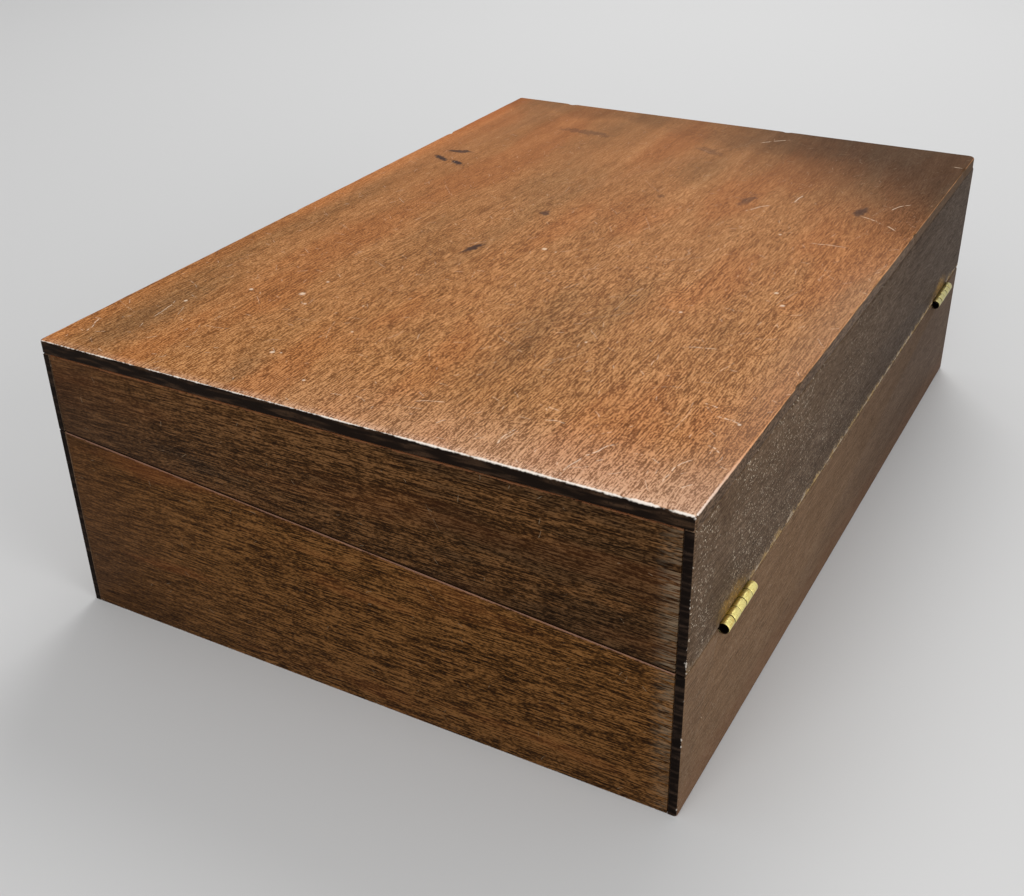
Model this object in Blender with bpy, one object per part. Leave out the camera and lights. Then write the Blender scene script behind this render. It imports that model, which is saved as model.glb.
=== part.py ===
import math

import bmesh
import bpy
from mathutils import Vector

# A folding writing slope, closed. Metres, +Z up, origin at the centre of its bottom face.
# +X is the near short end, -Y the lock side, +Y the hinge side.

# The box
LENGTH = 0.350
WIDTH = 0.244
HEIGHT = 0.111
SEAM_AT_LOCK = 0.0755
SEAM_AT_HINGE = HEIGHT / 2      # half the height, so that the open lid lies flat beside the base
SIDE_WALL = 0.010
END_WALL = 0.008
CORNER_LIP = 0.0032             # long boards lap the end boards by this rabbet
TOP_BOARD = 0.005
BOTTOM_BOARD = 0.005
BOTTOM_TONGUE = 0.004           # how far the bottom is let into the walls
TOP_ARRIS = 0.0012
FOOT_ARRIS = 0.0010
ARRIS_SEGMENTS = 3

# Clearances
JOINT_GAP = 0.0003              # between pieces that are fixed together
SEAM_GAP = 0.0004               # between the closed rims
FLAP_CLEARANCE = 0.0006         # round a writing flap
PIN_FIT = 0.0002                # round a pin in its bore
OVERRUN = 0.002                 # how far a cutter passes the face it opens

# Brass butt hinges
HINGE_LENGTH = 0.0254
HINGE_END_INSET = 0.0265        # box end to barrel end
HINGE_STANDOFF = 0.0013         # hinge-side face to pin centre
BARREL_RADIUS = 0.0020
HINGE_PIN_RADIUS = 0.0009
HINGE_PIN_RECESS = 0.0005
BARREL_SIDES = 20
KNUCKLES = 5
KNUCKLE_GAP = 0.0003
LEAF_REACH = 0.0084
LEAF_THICKNESS = 0.0012
LEAF_GAP = 0.0003
LEAF_SCREW_INSET = 0.0052       # leaf end to screw centre
LEAF_SCREW_REACH = 0.0052       # pin centre to screw centre

# Countersunk screws
SCREW_LENGTH = 0.0080
SCREW_HEAD_RADIUS = 0.0021
SCREW_HEAD_HEIGHT = 0.0011
SCREW_SHANK_RADIUS = 0.0010
SCREW_TIP = 0.0020
SCREW_SINK = 0.0001
SLOT_WIDTH = 0.0005
SLOT_DEPTH = 0.0005
SCREW_SIDES = 14

# Pen and ink space
PEN_SPACE = 0.042               # lock-side board to divider
DIVIDER = 0.006
DIVIDER_LIP = 0.0026
NOTCH_WIDTH = 0.018             # finger notch in the lip, to lift the flap by
NOTCH_DEPTH = 0.005
NOTCH_SIDES = 48
INK_BAY = 0.042
PARTITION = 0.005
PARTITION_DROP = 0.0010
TRAY_DROP = 0.0025
TRAY_THICKNESS = 0.015
TROUGH_RADIUS = 0.017
TROUGH_RISE = 0.008             # trough axis above the tray's top
TROUGH_MARGIN = 0.009
TROUGH_SIDES = 40
TRAY_BEARER = 0.006

# Writing flaps
FLAP_THICKNESS = 0.006
FLAP_SETBACK = 0.0002           # flap face below its rim
FLAP_NOSE_SEGMENTS = 10
SKIN_THICKNESS = 0.0010
SKIN_MARGIN = 0.014
FLAP_PIN_RADIUS = 0.0012
FLAP_PIN_LENGTH = 0.014
FLAP_PIN_IN_WALL = 0.0045
LEDGE = 0.006
ROD_SIDES = 20

# Square glass inkwells
BOTTLE_SIDE = 0.038
BOTTLE_BODY = 0.048
BOTTLE_CORNER = 0.004
BOTTLE_SHOULDER = 0.003
BOTTLE_FLOOR = 0.006
BOTTLE_WELL_RADIUS = 0.0145
NECK_RADIUS = 0.0100
NECK_BORE_RADIUS = 0.0068
NECK_HEIGHT = 0.0090
CAP_WALL = 0.0009
CAP_HEIGHT = 0.0100
CAP_CROWN = 0.0012
CAP_ROUND = 0.0010
TURNED_SIDES = 32

# Box lock, let into the middle of the lock-side board from within
LOCK_HEIGHT = 0.030
LOCK_SHEET = 0.0012
LOCK_EAR = 0.009                # plate beyond each end of the case
CASE_DEPTH = 0.0056
CASE_SHEET = 0.0008
CASE_FOOT = 0.0015              # plate below the case
LOCK_SCREW_DROP = 0.017
LOCK_SCREW_LENGTH = 0.0062
BOLT_THROW = 0.004
BOLT_BAR_HEIGHT = 0.007
BOLT_BAR_CLEAR = 0.0006
BOLT_CHEEK = 0.0044
BOLT_CHEEK_INSET = 0.0004
BOLT_TAIL = 0.0060
BOLT_END_CLEAR = 0.0017         # bolt end to case, withdrawn
FINGER_HEIGHT = 0.0022
FINGER_THICKNESS = 0.0014
FINGER_GAP = 0.0006             # finger tip to link, withdrawn
POST_WIDTH = 0.0020
POST_CLEAR = 0.0004             # post to link, thrown
KEYHOLE_DROP = 0.022
KEYHOLE_RADIUS = 0.0019
KEYHOLE_SLOT_WIDTH = 0.0018
KEYHOLE_SLOT_DROP = 0.0062
KEYHOLE_SIDES = 20
KEY_PIN_RADIUS = 0.0007
KEY_PIN_SETBACK = 0.0010
ESCUTCHEON_WIDTH = 0.0090
ESCUTCHEON_HEIGHT = 0.0150
ESCUTCHEON_DROP = 0.0020        # below the keyhole's round
ESCUTCHEON_SHEET = 0.0010
ESCUTCHEON_SIDES = 32

# Link plate on the lid, over the lock
LINK_PLATE_WIDTH = 0.0054
LINK_PLATE_SHEET = 0.0012
LINK_SPACING = 0.014
LINK_THICKNESS = 0.0022
LINK_WIDTH = 0.0032
LINK_DROP = 0.0082
LINK_CLEARANCE = 0.0007
EYE_WIDTH = 0.0020
EYE_HEIGHT = 0.0034
EYE_FLOOR = 0.0016
LINK_SCREW_REACH = 0.0075       # link centre to screw centre
LINK_SCREW_INSET = 0.0045       # screw centre to plate end

MERGE = 0.000001

# Places worked out from the sizes above
SLOPE = math.atan2(SEAM_AT_LOCK - SEAM_AT_HINGE, WIDTH)
INNER_X = LENGTH / 2 - END_WALL
INNER_Y = WIDTH / 2 - SIDE_WALL
LID_WALL_TOP = HEIGHT - TOP_BOARD - JOINT_GAP
HINGE_Y = WIDTH / 2 + HINGE_STANDOFF
HINGE_Z = HEIGHT / 2
HINGE_X = LENGTH / 2 - HINGE_END_INSET - HINGE_LENGTH / 2
POST_REACH = LINK_THICKNESS / 2 + POST_CLEAR + BOLT_THROW
BOLT_REACH = LINK_SPACING / 2 + POST_REACH + POST_WIDTH
CASE_LENGTH = 2 * (BOLT_REACH + BOLT_END_CLEAR + CASE_SHEET)
LOCK_LENGTH = CASE_LENGTH + 2 * LOCK_EAR
LINK_PLATE_LENGTH = LINK_SPACING + 2 * (LINK_SCREW_REACH + LINK_SCREW_INSET)
DIVIDER_LOCK_FACE = -INNER_Y + PEN_SPACE
DIVIDER_FLAP_FACE = DIVIDER_LOCK_FACE + DIVIDER
PARTITION_INK_FACE = INNER_X - INK_BAY
PARTITION_TRAY_FACE = PARTITION_INK_FACE - PARTITION
FLAP_NOSE = FLAP_THICKNESS / 2
FLAP_PIN_Y = INNER_Y - FLAP_CLEARANCE - FLAP_NOSE
ENDS = (("near", 1), ("far", -1))

FINISHES = {
    "mahogany_top": ((0.30, 0.12, 0.045), 0.32, 0.0),
    "mahogany": ((0.105, 0.050, 0.024), 0.42, 0.0),
    "mahogany_inside": ((0.16, 0.065, 0.028), 0.55, 0.0),
    "brass": ((0.72, 0.55, 0.22), 0.30, 1.0),
    "old_brass": ((0.42, 0.31, 0.13), 0.42, 1.0),
    "steel": ((0.30, 0.29, 0.28), 0.45, 1.0),
    "leather": ((0.055, 0.075, 0.040), 0.60, 0.0),
    "glass": ((0.78, 0.86, 0.84), 0.06, 0.0),
}


def seam_z(y):
    return SEAM_AT_HINGE + (WIDTH / 2 - y) * math.tan(SLOPE)


def base_rim(y):
    return seam_z(y) - SEAM_GAP / 2


def lid_rim(y):
    return seam_z(y) + SEAM_GAP / 2


def upright(distance):
    # height between two planes of the slope that lie this far apart
    return distance / math.cos(SLOPE)


# Meshes

def closed_mesh(name, shape):
    bmesh.ops.remove_doubles(shape, verts=shape.verts, dist=MERGE)
    bmesh.ops.recalc_face_normals(shape, faces=shape.faces)
    mesh = bpy.data.meshes.new(name)
    shape.to_mesh(mesh)
    shape.free()
    return mesh


def prism(outline, lift):
    # the outline as a face, carried by lift, which gives each point's place on the far face
    shape = bmesh.new()
    face = shape.faces.new([shape.verts.new(point) for point in outline])
    raised = bmesh.ops.extrude_face_region(shape, geom=[face])["geom"]
    for vertex in raised:
        if isinstance(vertex, bmesh.types.BMVert):
            vertex.co = lift(vertex.co)
    bmesh.ops.recalc_face_normals(shape, faces=shape.faces)
    return shape


def plan_solid(outline, low, high):
    # an outline seen from above, between two heights that may depend on y
    points = [(x, y, low(y)) for x, y in outline]
    return prism(points, lambda point: Vector((point.x, point.y, high(point.y))))


def side_solid(outline, half_length):
    # an outline in y and z, with the same length on both sides of x = 0
    points = [(-half_length, y, z) for y, z in outline]
    return prism(points, lambda point: Vector((half_length, point.y, point.z)))


def front_solid(outline, half_thickness):
    # an outline in x and z, with the same thickness on both sides of y = 0
    points = [(x, -half_thickness, z) for x, z in outline]
    return prism(points, lambda point: Vector((point.x, half_thickness, point.z)))


def block(low, high):
    outline = [(low[0], low[1]), (high[0], low[1]), (high[0], high[1]), (low[0], high[1])]
    return plan_solid(outline, lambda y: low[2], lambda y: high[2])


def turned(profile, sides):
    # a profile of radius and height, from axis to axis, spun about z
    shape = bmesh.new()
    points = [shape.verts.new((radius, 0, height)) for radius, height in profile]
    lines = [shape.edges.new(pair) for pair in zip(points, points[1:])]
    bmesh.ops.spin(shape, geom=points + lines, cent=(0, 0, 0), axis=(0, 0, 1),
                   angle=math.tau, steps=sides, use_merge=True)
    bmesh.ops.remove_doubles(shape, verts=shape.verts, dist=MERGE)
    bmesh.ops.recalc_face_normals(shape, faces=shape.faces)
    return shape


def rod(radius, length, sides):
    shape = bmesh.new()
    bmesh.ops.create_cone(shape, cap_ends=True, segments=sides, radius1=radius, radius2=radius,
                          depth=length)
    return shape


def soften(shape, chosen, width, segments):
    edges = [edge for edge in shape.edges if chosen(edge)]
    bmesh.ops.bevel(shape, geom=edges, offset=width, segments=segments, profile=0.5,
                    affect="EDGES")
    return shape


def at_corner(edge):
    # an upright edge at an outer corner of the box
    return all(abs(abs(v.co.x) - LENGTH / 2) < MERGE and abs(abs(v.co.y) - WIDTH / 2) < MERGE
               for v in edge.verts)


def at_foot_outside(edge):
    # a bottom edge along the long side of the box
    return all(v.co.z < MERGE and abs(abs(v.co.y) - WIDTH / 2) < MERGE for v in edge.verts)


def at_top_outside(edge):
    middle = (edge.verts[0].co + edge.verts[1].co) / 2
    outside = max(abs(middle.x) - LENGTH / 2, abs(middle.y) - WIDTH / 2)
    return abs(outside) < MERGE and all(v.co.z > HEIGHT - MERGE for v in edge.verts)


# Objects

def finish(name, kind):
    colour, roughness, metallic = FINISHES[kind]
    material = bpy.data.materials.new(name + "_" + kind)
    material.use_nodes = True
    shader = material.node_tree.nodes["Principled BSDF"]
    shader.inputs["Base Color"].default_value = (*colour, 1)
    shader.inputs["Roughness"].default_value = roughness
    shader.inputs["Metallic"].default_value = metallic
    if kind == "glass":
        shader.inputs["Transmission Weight"].default_value = 0.9
    return material


def pivot(name, place, parent=None):
    empty = bpy.data.objects.new(name, None)
    bpy.context.collection.objects.link(empty)
    hang(empty, place, parent)
    return empty


def hang(thing, place, parent):
    # puts a thing at a place of the box, under a pivot that isn't turned
    thing.parent = parent
    while parent:
        place = Vector(place) - parent.location
        parent = parent.parent
    thing.location = place


def piece(name, shape, kind, place=(0, 0, 0), turn=(0, 0, 0), parent=None):
    mesh = shape if isinstance(shape, bpy.types.Mesh) else closed_mesh(name, shape)
    thing = bpy.data.objects.new(name, mesh)
    bpy.context.collection.objects.link(thing)
    thing.data.materials.append(None)
    thing.material_slots[0].link = "OBJECT"
    thing.material_slots[0].material = finish(name, kind)
    thing.rotation_euler = turn
    hang(thing, place, parent)
    return thing


def cutter(name, shape, place=(0, 0, 0), turn=(0, 0, 0), parent=None):
    mesh = shape if isinstance(shape, bpy.types.Mesh) else closed_mesh(name, shape)
    thing = bpy.data.objects.new(name, mesh)
    bpy.context.collection.objects.link(thing)
    thing.rotation_euler = turn
    thing.hide_render = True
    thing.display_type = "WIRE"
    hang(thing, place, parent)
    return thing


def cut(thing, tool, operation="DIFFERENCE"):
    change = thing.modifiers.new(tool.name, "BOOLEAN")
    change.operation = operation
    change.solver = "EXACT"
    change.object = tool
    return thing


def evaluated_mesh(thing):
    bpy.context.view_layer.update()
    graph = bpy.context.evaluated_depsgraph_get()
    return bpy.data.meshes.new_from_object(thing.evaluated_get(graph))


def shade_round(thing):
    thing.data.shade_smooth()
    thing.data.set_sharp_from_angle(angle=math.radians(35))


# Carcass

def long_board(name, side, low, high, parent=None, base=False):
    outer = side * WIDTH / 2
    lip = side * (WIDTH / 2 - CORNER_LIP)
    inner = side * INNER_Y
    shoulder = INNER_X - JOINT_GAP
    end = LENGTH / 2
    outline = [(-end, outer), (end, outer), (end, lip), (shoulder, lip), (shoulder, inner),
               (-shoulder, inner), (-shoulder, lip), (-end, lip)]
    shape = plan_solid(outline, low, high)
    soften(shape, at_corner, FOOT_ARRIS, ARRIS_SEGMENTS)
    if base:
        soften(shape, at_foot_outside, FOOT_ARRIS, ARRIS_SEGMENTS)
    return piece(name, shape, "mahogany", parent=parent)


def end_board(name, side, low, high, parent=None):
    half = WIDTH / 2 - CORNER_LIP - JOINT_GAP
    xs = sorted((side * INNER_X, side * LENGTH / 2))
    outline = [(xs[0], -half), (xs[1], -half), (xs[1], half), (xs[0], half)]
    return piece(name, plan_solid(outline, low, high), "mahogany", parent=parent)


def carcass(lid_pivot):
    reach_x = INNER_X + BOTTOM_TONGUE
    reach_y = INNER_Y + BOTTOM_TONGUE
    piece("base_bottom", block((-reach_x, -reach_y, 0), (reach_x, reach_y, BOTTOM_BOARD)),
          "mahogany_inside")
    gap_x = reach_x + JOINT_GAP
    gap_y = reach_y + JOINT_GAP
    rabbet = cutter("bottom_rabbet", block((-gap_x, -gap_y, -OVERRUN),
                                           (gap_x, gap_y, BOTTOM_BOARD + JOINT_GAP)))
    boards = {}
    for word, side in (("lock", -1), ("hinge", 1)):
        name = "base_" + word + "_side"
        boards[name] = cut(long_board(name, side, lambda y: 0, base_rim, base=True), rabbet)
        name = "lid_" + word + "_side"
        boards[name] = long_board(name, side, lid_rim, lambda y: LID_WALL_TOP, lid_pivot)
    for word, side in ENDS:
        name = "base_" + word + "_end"
        boards[name] = cut(end_board(name, side, lambda y: 0, base_rim), rabbet)
        name = "lid_" + word + "_end"
        boards[name] = end_board(name, side, lid_rim, lambda y: LID_WALL_TOP, lid_pivot)
    top = block((-LENGTH / 2, -WIDTH / 2, HEIGHT - TOP_BOARD), (LENGTH / 2, WIDTH / 2, HEIGHT))
    soften(top, lambda edge: at_corner(edge) or at_top_outside(edge), TOP_ARRIS, ARRIS_SEGMENTS)
    shade_round(piece("lid_top", top, "mahogany_top", parent=lid_pivot))
    return boards


# Screws

def screw_profile(length, grow=0, overrun=0):
    head = SCREW_HEAD_RADIUS + grow
    shank = SCREW_SHANK_RADIUS + grow
    profile = [(0, overrun)]
    if overrun:
        profile.append((head, overrun))
    profile += [(head, 0), (shank, -SCREW_HEAD_HEIGHT), (shank, SCREW_TIP - length - grow),
                (0, -length - grow)]
    return profile


def screw_mesh(name, length):
    blank = cutter(name + "_blank", turned(screw_profile(length), SCREW_SIDES))
    slot = cutter(name + "_slot", block((-SCREW_HEAD_RADIUS - OVERRUN, -SLOT_WIDTH / 2,
                                         -SLOT_DEPTH),
                                        (SCREW_HEAD_RADIUS + OVERRUN, SLOT_WIDTH / 2, OVERRUN)))
    mesh = evaluated_mesh(cut(blank, slot))
    for tool in (blank, slot):
        bpy.data.objects.remove(tool)
    mesh.name = name
    return mesh


def screw(name, mesh, length, place, turn, parent, carriers):
    # the screw, and its countersunk hole in each piece that it passes
    hole = cutter(name + "_hole", turned(screw_profile(length, JOINT_GAP, OVERRUN), SCREW_SIDES),
                  place, turn, parent)
    for carrier in carriers:
        cut(carrier, hole)
    return piece(name, mesh, "old_brass", place, turn, parent)


# Butt hinges on the hinge side

def knuckle_span(index):
    width = HINGE_LENGTH / KNUCKLES
    start = -HINGE_LENGTH / 2 + index * width
    return start, start + width


def leaf_outline(low, high):
    # the leaf from the side, with the barrel round the origin
    first = math.pi - math.asin(high / BARREL_RADIUS)
    last = -math.pi - math.asin(low / BARREL_RADIUS)
    outline = [(-LEAF_REACH, low), (-LEAF_REACH, high)]
    for step in range(BARREL_SIDES + 1):
        angle = first + (last - first) * step / BARREL_SIDES
        outline.append((BARREL_RADIUS * math.cos(angle), BARREL_RADIUS * math.sin(angle)))
    return outline


def hinge_leaf(name, place, upper, pin_bore, parent):
    # the barrel and the leaf in one, less the other leaf's knuckles
    sign = 1 if upper else -1
    face = sign * LEAF_GAP / 2 - HINGE_STANDOFF * math.sin(SLOPE)
    low, high = sorted((face, face + sign * LEAF_THICKNESS))
    leaf = piece(name, side_solid(leaf_outline(low, high), HINGE_LENGTH / 2), "brass", place,
                 (-SLOPE, 0, 0), parent)
    for index in range(KNUCKLES):
        if (index % 2 == 0) != upper:
            continue
        start, end = knuckle_span(index)
        middle = place[0] + (start + end) / 2
        room = rod(BARREL_RADIUS + JOINT_GAP, end - start + 2 * KNUCKLE_GAP, ROD_SIDES)
        cut(leaf, cutter(name + "_room_" + str(index), room, (middle, place[1], place[2]),
                         (0, math.pi / 2, 0), parent))
    cut(leaf, pin_bore)
    return leaf


def butt_hinge(word, side, boards, lid_pivot, short_screw):
    place = (side * HINGE_X, HINGE_Y, HINGE_Z)
    along = (0, math.pi / 2, 0)
    pin_bore = cutter("hinge_" + word + "_bore",
                      rod(HINGE_PIN_RADIUS + PIN_FIT, HINGE_LENGTH + OVERRUN, ROD_SIDES),
                      place, along)
    pin = rod(HINGE_PIN_RADIUS, HINGE_LENGTH - 2 * HINGE_PIN_RECESS, ROD_SIDES)
    shade_round(piece("hinge_" + word + "_pin", pin, "steel", place, along))
    # one pocket in both rims takes both leaves, and one round groove the barrel
    depth = LEAF_THICKNESS + JOINT_GAP + LEAF_GAP / 2
    seam = -HINGE_STANDOFF * math.sin(SLOPE)
    half = HINGE_LENGTH / 2 + JOINT_GAP
    pocket = cutter("hinge_" + word + "_pocket",
                    block((-half, -LEAF_REACH - JOINT_GAP, seam - depth),
                          (half, OVERRUN, seam + depth)), place, (-SLOPE, 0, 0))
    groove = cutter("hinge_" + word + "_groove",
                    rod(BARREL_RADIUS + JOINT_GAP, 2 * half, ROD_SIDES), place, along)
    for body, upper, parent in (("base", False, None), ("lid", True, lid_pivot)):
        board = boards[body + "_hinge_side"]
        cut(board, pocket)
        cut(board, groove)
        leaf = hinge_leaf("hinge_" + word + "_" + body + "_leaf", place, upper, pin_bore, parent)
        sign = 1 if upper else -1
        face = seam + sign * (LEAF_GAP / 2 + SCREW_SINK)
        turn = (math.pi - SLOPE if upper else -SLOPE, 0, 0)
        for number, way in ((1, -1), (2, 1)):
            y = HINGE_Y - LEAF_SCREW_REACH * math.cos(SLOPE) + face * math.sin(SLOPE)
            z = HINGE_Z + LEAF_SCREW_REACH * math.sin(SLOPE) + face * math.cos(SLOPE)
            x = place[0] + way * (HINGE_LENGTH / 2 - LEAF_SCREW_INSET)
            screw("hinge_" + word + "_" + body + "_screw_" + str(number), short_screw,
                  SCREW_LENGTH, (x, y, z), turn, parent, (leaf, board))


# Writing flaps

def flap_outline(depth, skin_side):
    # the board from the side, its pin at the origin and its round nose towards the hinges
    outline = []
    for step in range(FLAP_NOSE_SEGMENTS + 1):
        angle = -math.pi / 2 + math.pi * step / FLAP_NOSE_SEGMENTS
        outline.append((FLAP_NOSE * math.cos(angle), FLAP_NOSE * math.sin(angle)))
    outline.append((-depth, FLAP_NOSE))
    outline.append((-depth, -FLAP_NOSE))
    return [(y, skin_side * z) for y, z in outline]


def writing_flap(body, front, rim, skin_side, boards, flap_pivot):
    # skin_side is 1 where the leather faces up and -1 where it faces down
    place = (0, FLAP_PIN_Y, rim(FLAP_PIN_Y) - skin_side * upright(FLAP_NOSE + FLAP_SETBACK))
    depth = (FLAP_PIN_Y - front - FLAP_CLEARANCE) / math.cos(SLOPE)
    half = INNER_X - FLAP_CLEARANCE
    turn = (-SLOPE, 0, 0)
    board = piece(body + "_flap", side_solid(flap_outline(depth, skin_side), half),
                  "mahogany_inside", place, turn, flap_pivot)
    near_y = -SKIN_MARGIN
    far_y = -depth + SKIN_MARGIN
    skin_x = half - SKIN_MARGIN
    face = skin_side * FLAP_NOSE
    floor = face - skin_side * (SKIN_THICKNESS + JOINT_GAP)
    past = face + skin_side * OVERRUN
    recess = block((-skin_x - JOINT_GAP, far_y - JOINT_GAP, min(floor, past)),
                   (skin_x + JOINT_GAP, near_y + JOINT_GAP, max(floor, past)))
    cut(board, cutter(body + "_skin_recess", recess, place, turn, flap_pivot))
    back = face - skin_side * SKIN_THICKNESS
    skin = block((-skin_x, far_y, min(face, back)), (skin_x, near_y, max(face, back)))
    piece(body + "_writing_skin", skin, "leather", place, turn, flap_pivot)
    for word, side in ENDS:
        x = side * (INNER_X + FLAP_PIN_IN_WALL - FLAP_PIN_LENGTH / 2)
        pin_place = (x, place[1], place[2])
        along = (0, math.pi / 2, 0)
        name = body + "_flap_pin_" + word
        bore = cutter(name + "_bore", rod(FLAP_PIN_RADIUS + PIN_FIT,
                                          FLAP_PIN_LENGTH + 2 * JOINT_GAP, ROD_SIDES),
                      pin_place, along, flap_pivot)
        cut(board, bore)
        cut(boards[body + "_" + word + "_end"], bore)
        pin = rod(FLAP_PIN_RADIUS, FLAP_PIN_LENGTH, ROD_SIDES)
        shade_round(piece(name, pin, "brass", pin_place, along, flap_pivot))
    return board


def flap_back(rim, skin_side, y):
    # the height of a flap's hidden face at y, less the glue gap
    return rim(y) - skin_side * upright(FLAP_SETBACK + FLAP_THICKNESS + JOINT_GAP)


def end_ledges(body, front, rim, skin_side, parent):
    # a strip on each end board carries the flap's edge
    for word, side in ENDS:
        ys = (front + JOINT_GAP, INNER_Y - JOINT_GAP)
        outline = [(y, flap_back(rim, skin_side, y)) for y in ys]
        outline += [(y, flap_back(rim, skin_side, y) - skin_side * upright(LEDGE))
                    for y in reversed(ys)]
        x = side * (INNER_X - JOINT_GAP - LEDGE / 2)
        piece(body + "_flap_ledge_" + word, side_solid(outline, LEDGE / 2), "mahogany_inside",
              (x, 0, 0), parent=parent)


def lid_lock_ledge(lid_pivot):
    ys = (-INNER_Y + JOINT_GAP, -INNER_Y + JOINT_GAP + LEDGE)
    outline = [(y, flap_back(lid_rim, -1, y)) for y in ys]
    outline += [(y, flap_back(lid_rim, -1, y) + upright(LEDGE)) for y in reversed(ys)]
    half = INNER_X - 2 * JOINT_GAP - LEDGE
    piece("lid_flap_ledge_lock", side_solid(outline, half), "mahogany_inside",
          parent=lid_pivot)


# Pen and ink space

def sloping_block(name, ys, low, high, half_length, x=0):
    # high gives the sloping top's height at a y
    outline = [(ys[0], low), (ys[1], low), (ys[1], high(ys[1])), (ys[0], high(ys[0]))]
    return piece(name, side_solid(outline, half_length), "mahogany_inside", (x, 0, 0))


def divider():
    lip = DIVIDER_LOCK_FACE + DIVIDER_LIP
    floor = BOTTOM_BOARD + JOINT_GAP
    outline = [(DIVIDER_LOCK_FACE, floor), (DIVIDER_FLAP_FACE, floor),
               (DIVIDER_FLAP_FACE, flap_back(base_rim, 1, DIVIDER_FLAP_FACE)),
               (lip, flap_back(base_rim, 1, lip)), (lip, base_rim(lip)),
               (DIVIDER_LOCK_FACE, base_rim(DIVIDER_LOCK_FACE))]
    board = piece("tray_divider", side_solid(outline, INNER_X - JOINT_GAP), "mahogany_inside")
    radius = (NOTCH_WIDTH ** 2 / 4 + NOTCH_DEPTH ** 2) / (2 * NOTCH_DEPTH)
    place = (0, DIVIDER_LOCK_FACE, base_rim(lip) - NOTCH_DEPTH + radius)
    notch = rod(radius, 2 * (DIVIDER_LIP + FLAP_CLEARANCE), NOTCH_SIDES)
    cut(board, cutter("finger_notch", notch, place, (math.pi / 2, 0, 0)))
    return lip


def pen_space():
    floor = BOTTOM_BOARD + JOINT_GAP
    ys = (-INNER_Y + JOINT_GAP, DIVIDER_LOCK_FACE - JOINT_GAP)
    tray_low = base_rim(ys[1]) - TRAY_DROP - TRAY_THICKNESS
    tray_half = PARTITION_TRAY_FACE - JOINT_GAP
    for word, side in ENDS:
        x = side * (PARTITION_TRAY_FACE + PARTITION / 2)
        sloping_block("ink_partition_" + word, ys, floor, lambda y: base_rim(y) - PARTITION_DROP,
                      PARTITION / 2, x)
        x = side * (PARTITION_TRAY_FACE - JOINT_GAP - TRAY_BEARER / 2)
        high = tray_low - JOINT_GAP
        sloping_block("tray_bearer_" + word, ys, high - TRAY_BEARER, lambda y: high,
                      TRAY_BEARER / 2, x)
    tray = sloping_block("pen_tray", ys, tray_low, lambda y: base_rim(y) - TRAY_DROP, tray_half)
    # the trough: a turned bar with ball ends, laid along the tray
    middle_y = (ys[0] + ys[1]) / 2
    axis_z = base_rim(middle_y) - TRAY_DROP + TROUGH_RISE
    half_mouth = math.sqrt(TROUGH_RADIUS ** 2 - TROUGH_RISE ** 2)
    straight = tray_half - TROUGH_MARGIN - half_mouth
    profile = []
    quarter = TROUGH_SIDES // 4
    for end in (1, -1):
        for step in range(quarter + 1):
            angle = math.pi / 2 * (step if end > 0 else quarter - step) / quarter
            profile.append((TROUGH_RADIUS * math.sin(angle),
                            end * (straight + TROUGH_RADIUS * math.cos(angle))))
    trough = cutter("pen_trough", turned(profile, TROUGH_SIDES), (0, middle_y, axis_z),
                    (0, math.pi / 2, 0))
    cut(tray, trough)


def inkwell(word, side):
    x = side * (PARTITION_INK_FACE + INK_BAY / 2)
    y = -INNER_Y + PEN_SPACE / 2
    place = (x, y, BOTTOM_BOARD + JOINT_GAP)
    half = BOTTLE_SIDE / 2
    body = block((-half, -half, 0), (half, half, BOTTLE_BODY))
    soften(body, lambda edge: abs(edge.verts[0].co.z - edge.verts[1].co.z) > MERGE,
           BOTTLE_CORNER, ARRIS_SEGMENTS)
    soften(body, lambda edge: all(v.co.z > BOTTLE_BODY - MERGE for v in edge.verts),
           BOTTLE_SHOULDER, ARRIS_SEGMENTS)
    bottle = piece("inkwell_" + word, body, "glass", place)
    shoulder = BOTTLE_BODY - BOTTLE_SHOULDER
    lip = BOTTLE_BODY + NECK_HEIGHT
    neck = [(0, lip), (NECK_RADIUS, lip), (NECK_RADIUS, shoulder), (0, shoulder)]
    cut(bottle, cutter("inkwell_neck_" + word, turned(neck, TURNED_SIDES), place), "UNION")
    well = [(0, lip + OVERRUN), (NECK_BORE_RADIUS, lip + OVERRUN),
            (NECK_BORE_RADIUS, shoulder), (BOTTLE_WELL_RADIUS, shoulder - BOTTLE_SHOULDER),
            (BOTTLE_WELL_RADIUS, BOTTLE_FLOOR), (0, BOTTLE_FLOOR)]
    cut(bottle, cutter("inkwell_well_" + word, turned(well, TURNED_SIDES), place))
    inner = NECK_RADIUS + JOINT_GAP
    outer = inner + CAP_WALL
    ceiling = lip + JOINT_GAP
    crown = ceiling + CAP_CROWN
    foot = crown - CAP_HEIGHT
    cap = [(0, crown), (outer - CAP_ROUND, crown), (outer, crown - CAP_ROUND), (outer, foot),
           (inner, foot), (inner, ceiling), (0, ceiling)]
    shade_round(piece("inkwell_cap_" + word, turned(cap, TURNED_SIDES), "brass", place))


# Lock and link plate

LOCK_BACK = -INNER_Y
LOCK_FRONT = LOCK_BACK - LOCK_SHEET
CASE_BACK = LOCK_FRONT - JOINT_GAP
CASE_FRONT = CASE_BACK - CASE_DEPTH
LINK_Y = (CASE_BACK + CASE_FRONT + CASE_SHEET) / 2
LINK_FOOT = seam_z(LINK_Y) - LINK_DROP
PLATE_FOOT = base_rim(LOCK_BACK) - LOCK_HEIGHT
CASE_FOOT_Z = PLATE_FOOT + CASE_FOOT
KEYHOLE_Z = base_rim(LOCK_BACK) - KEYHOLE_DROP


def selvedge(y, depth):
    # the height at y of a face this far below the rim
    return base_rim(y) - upright(depth)


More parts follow.
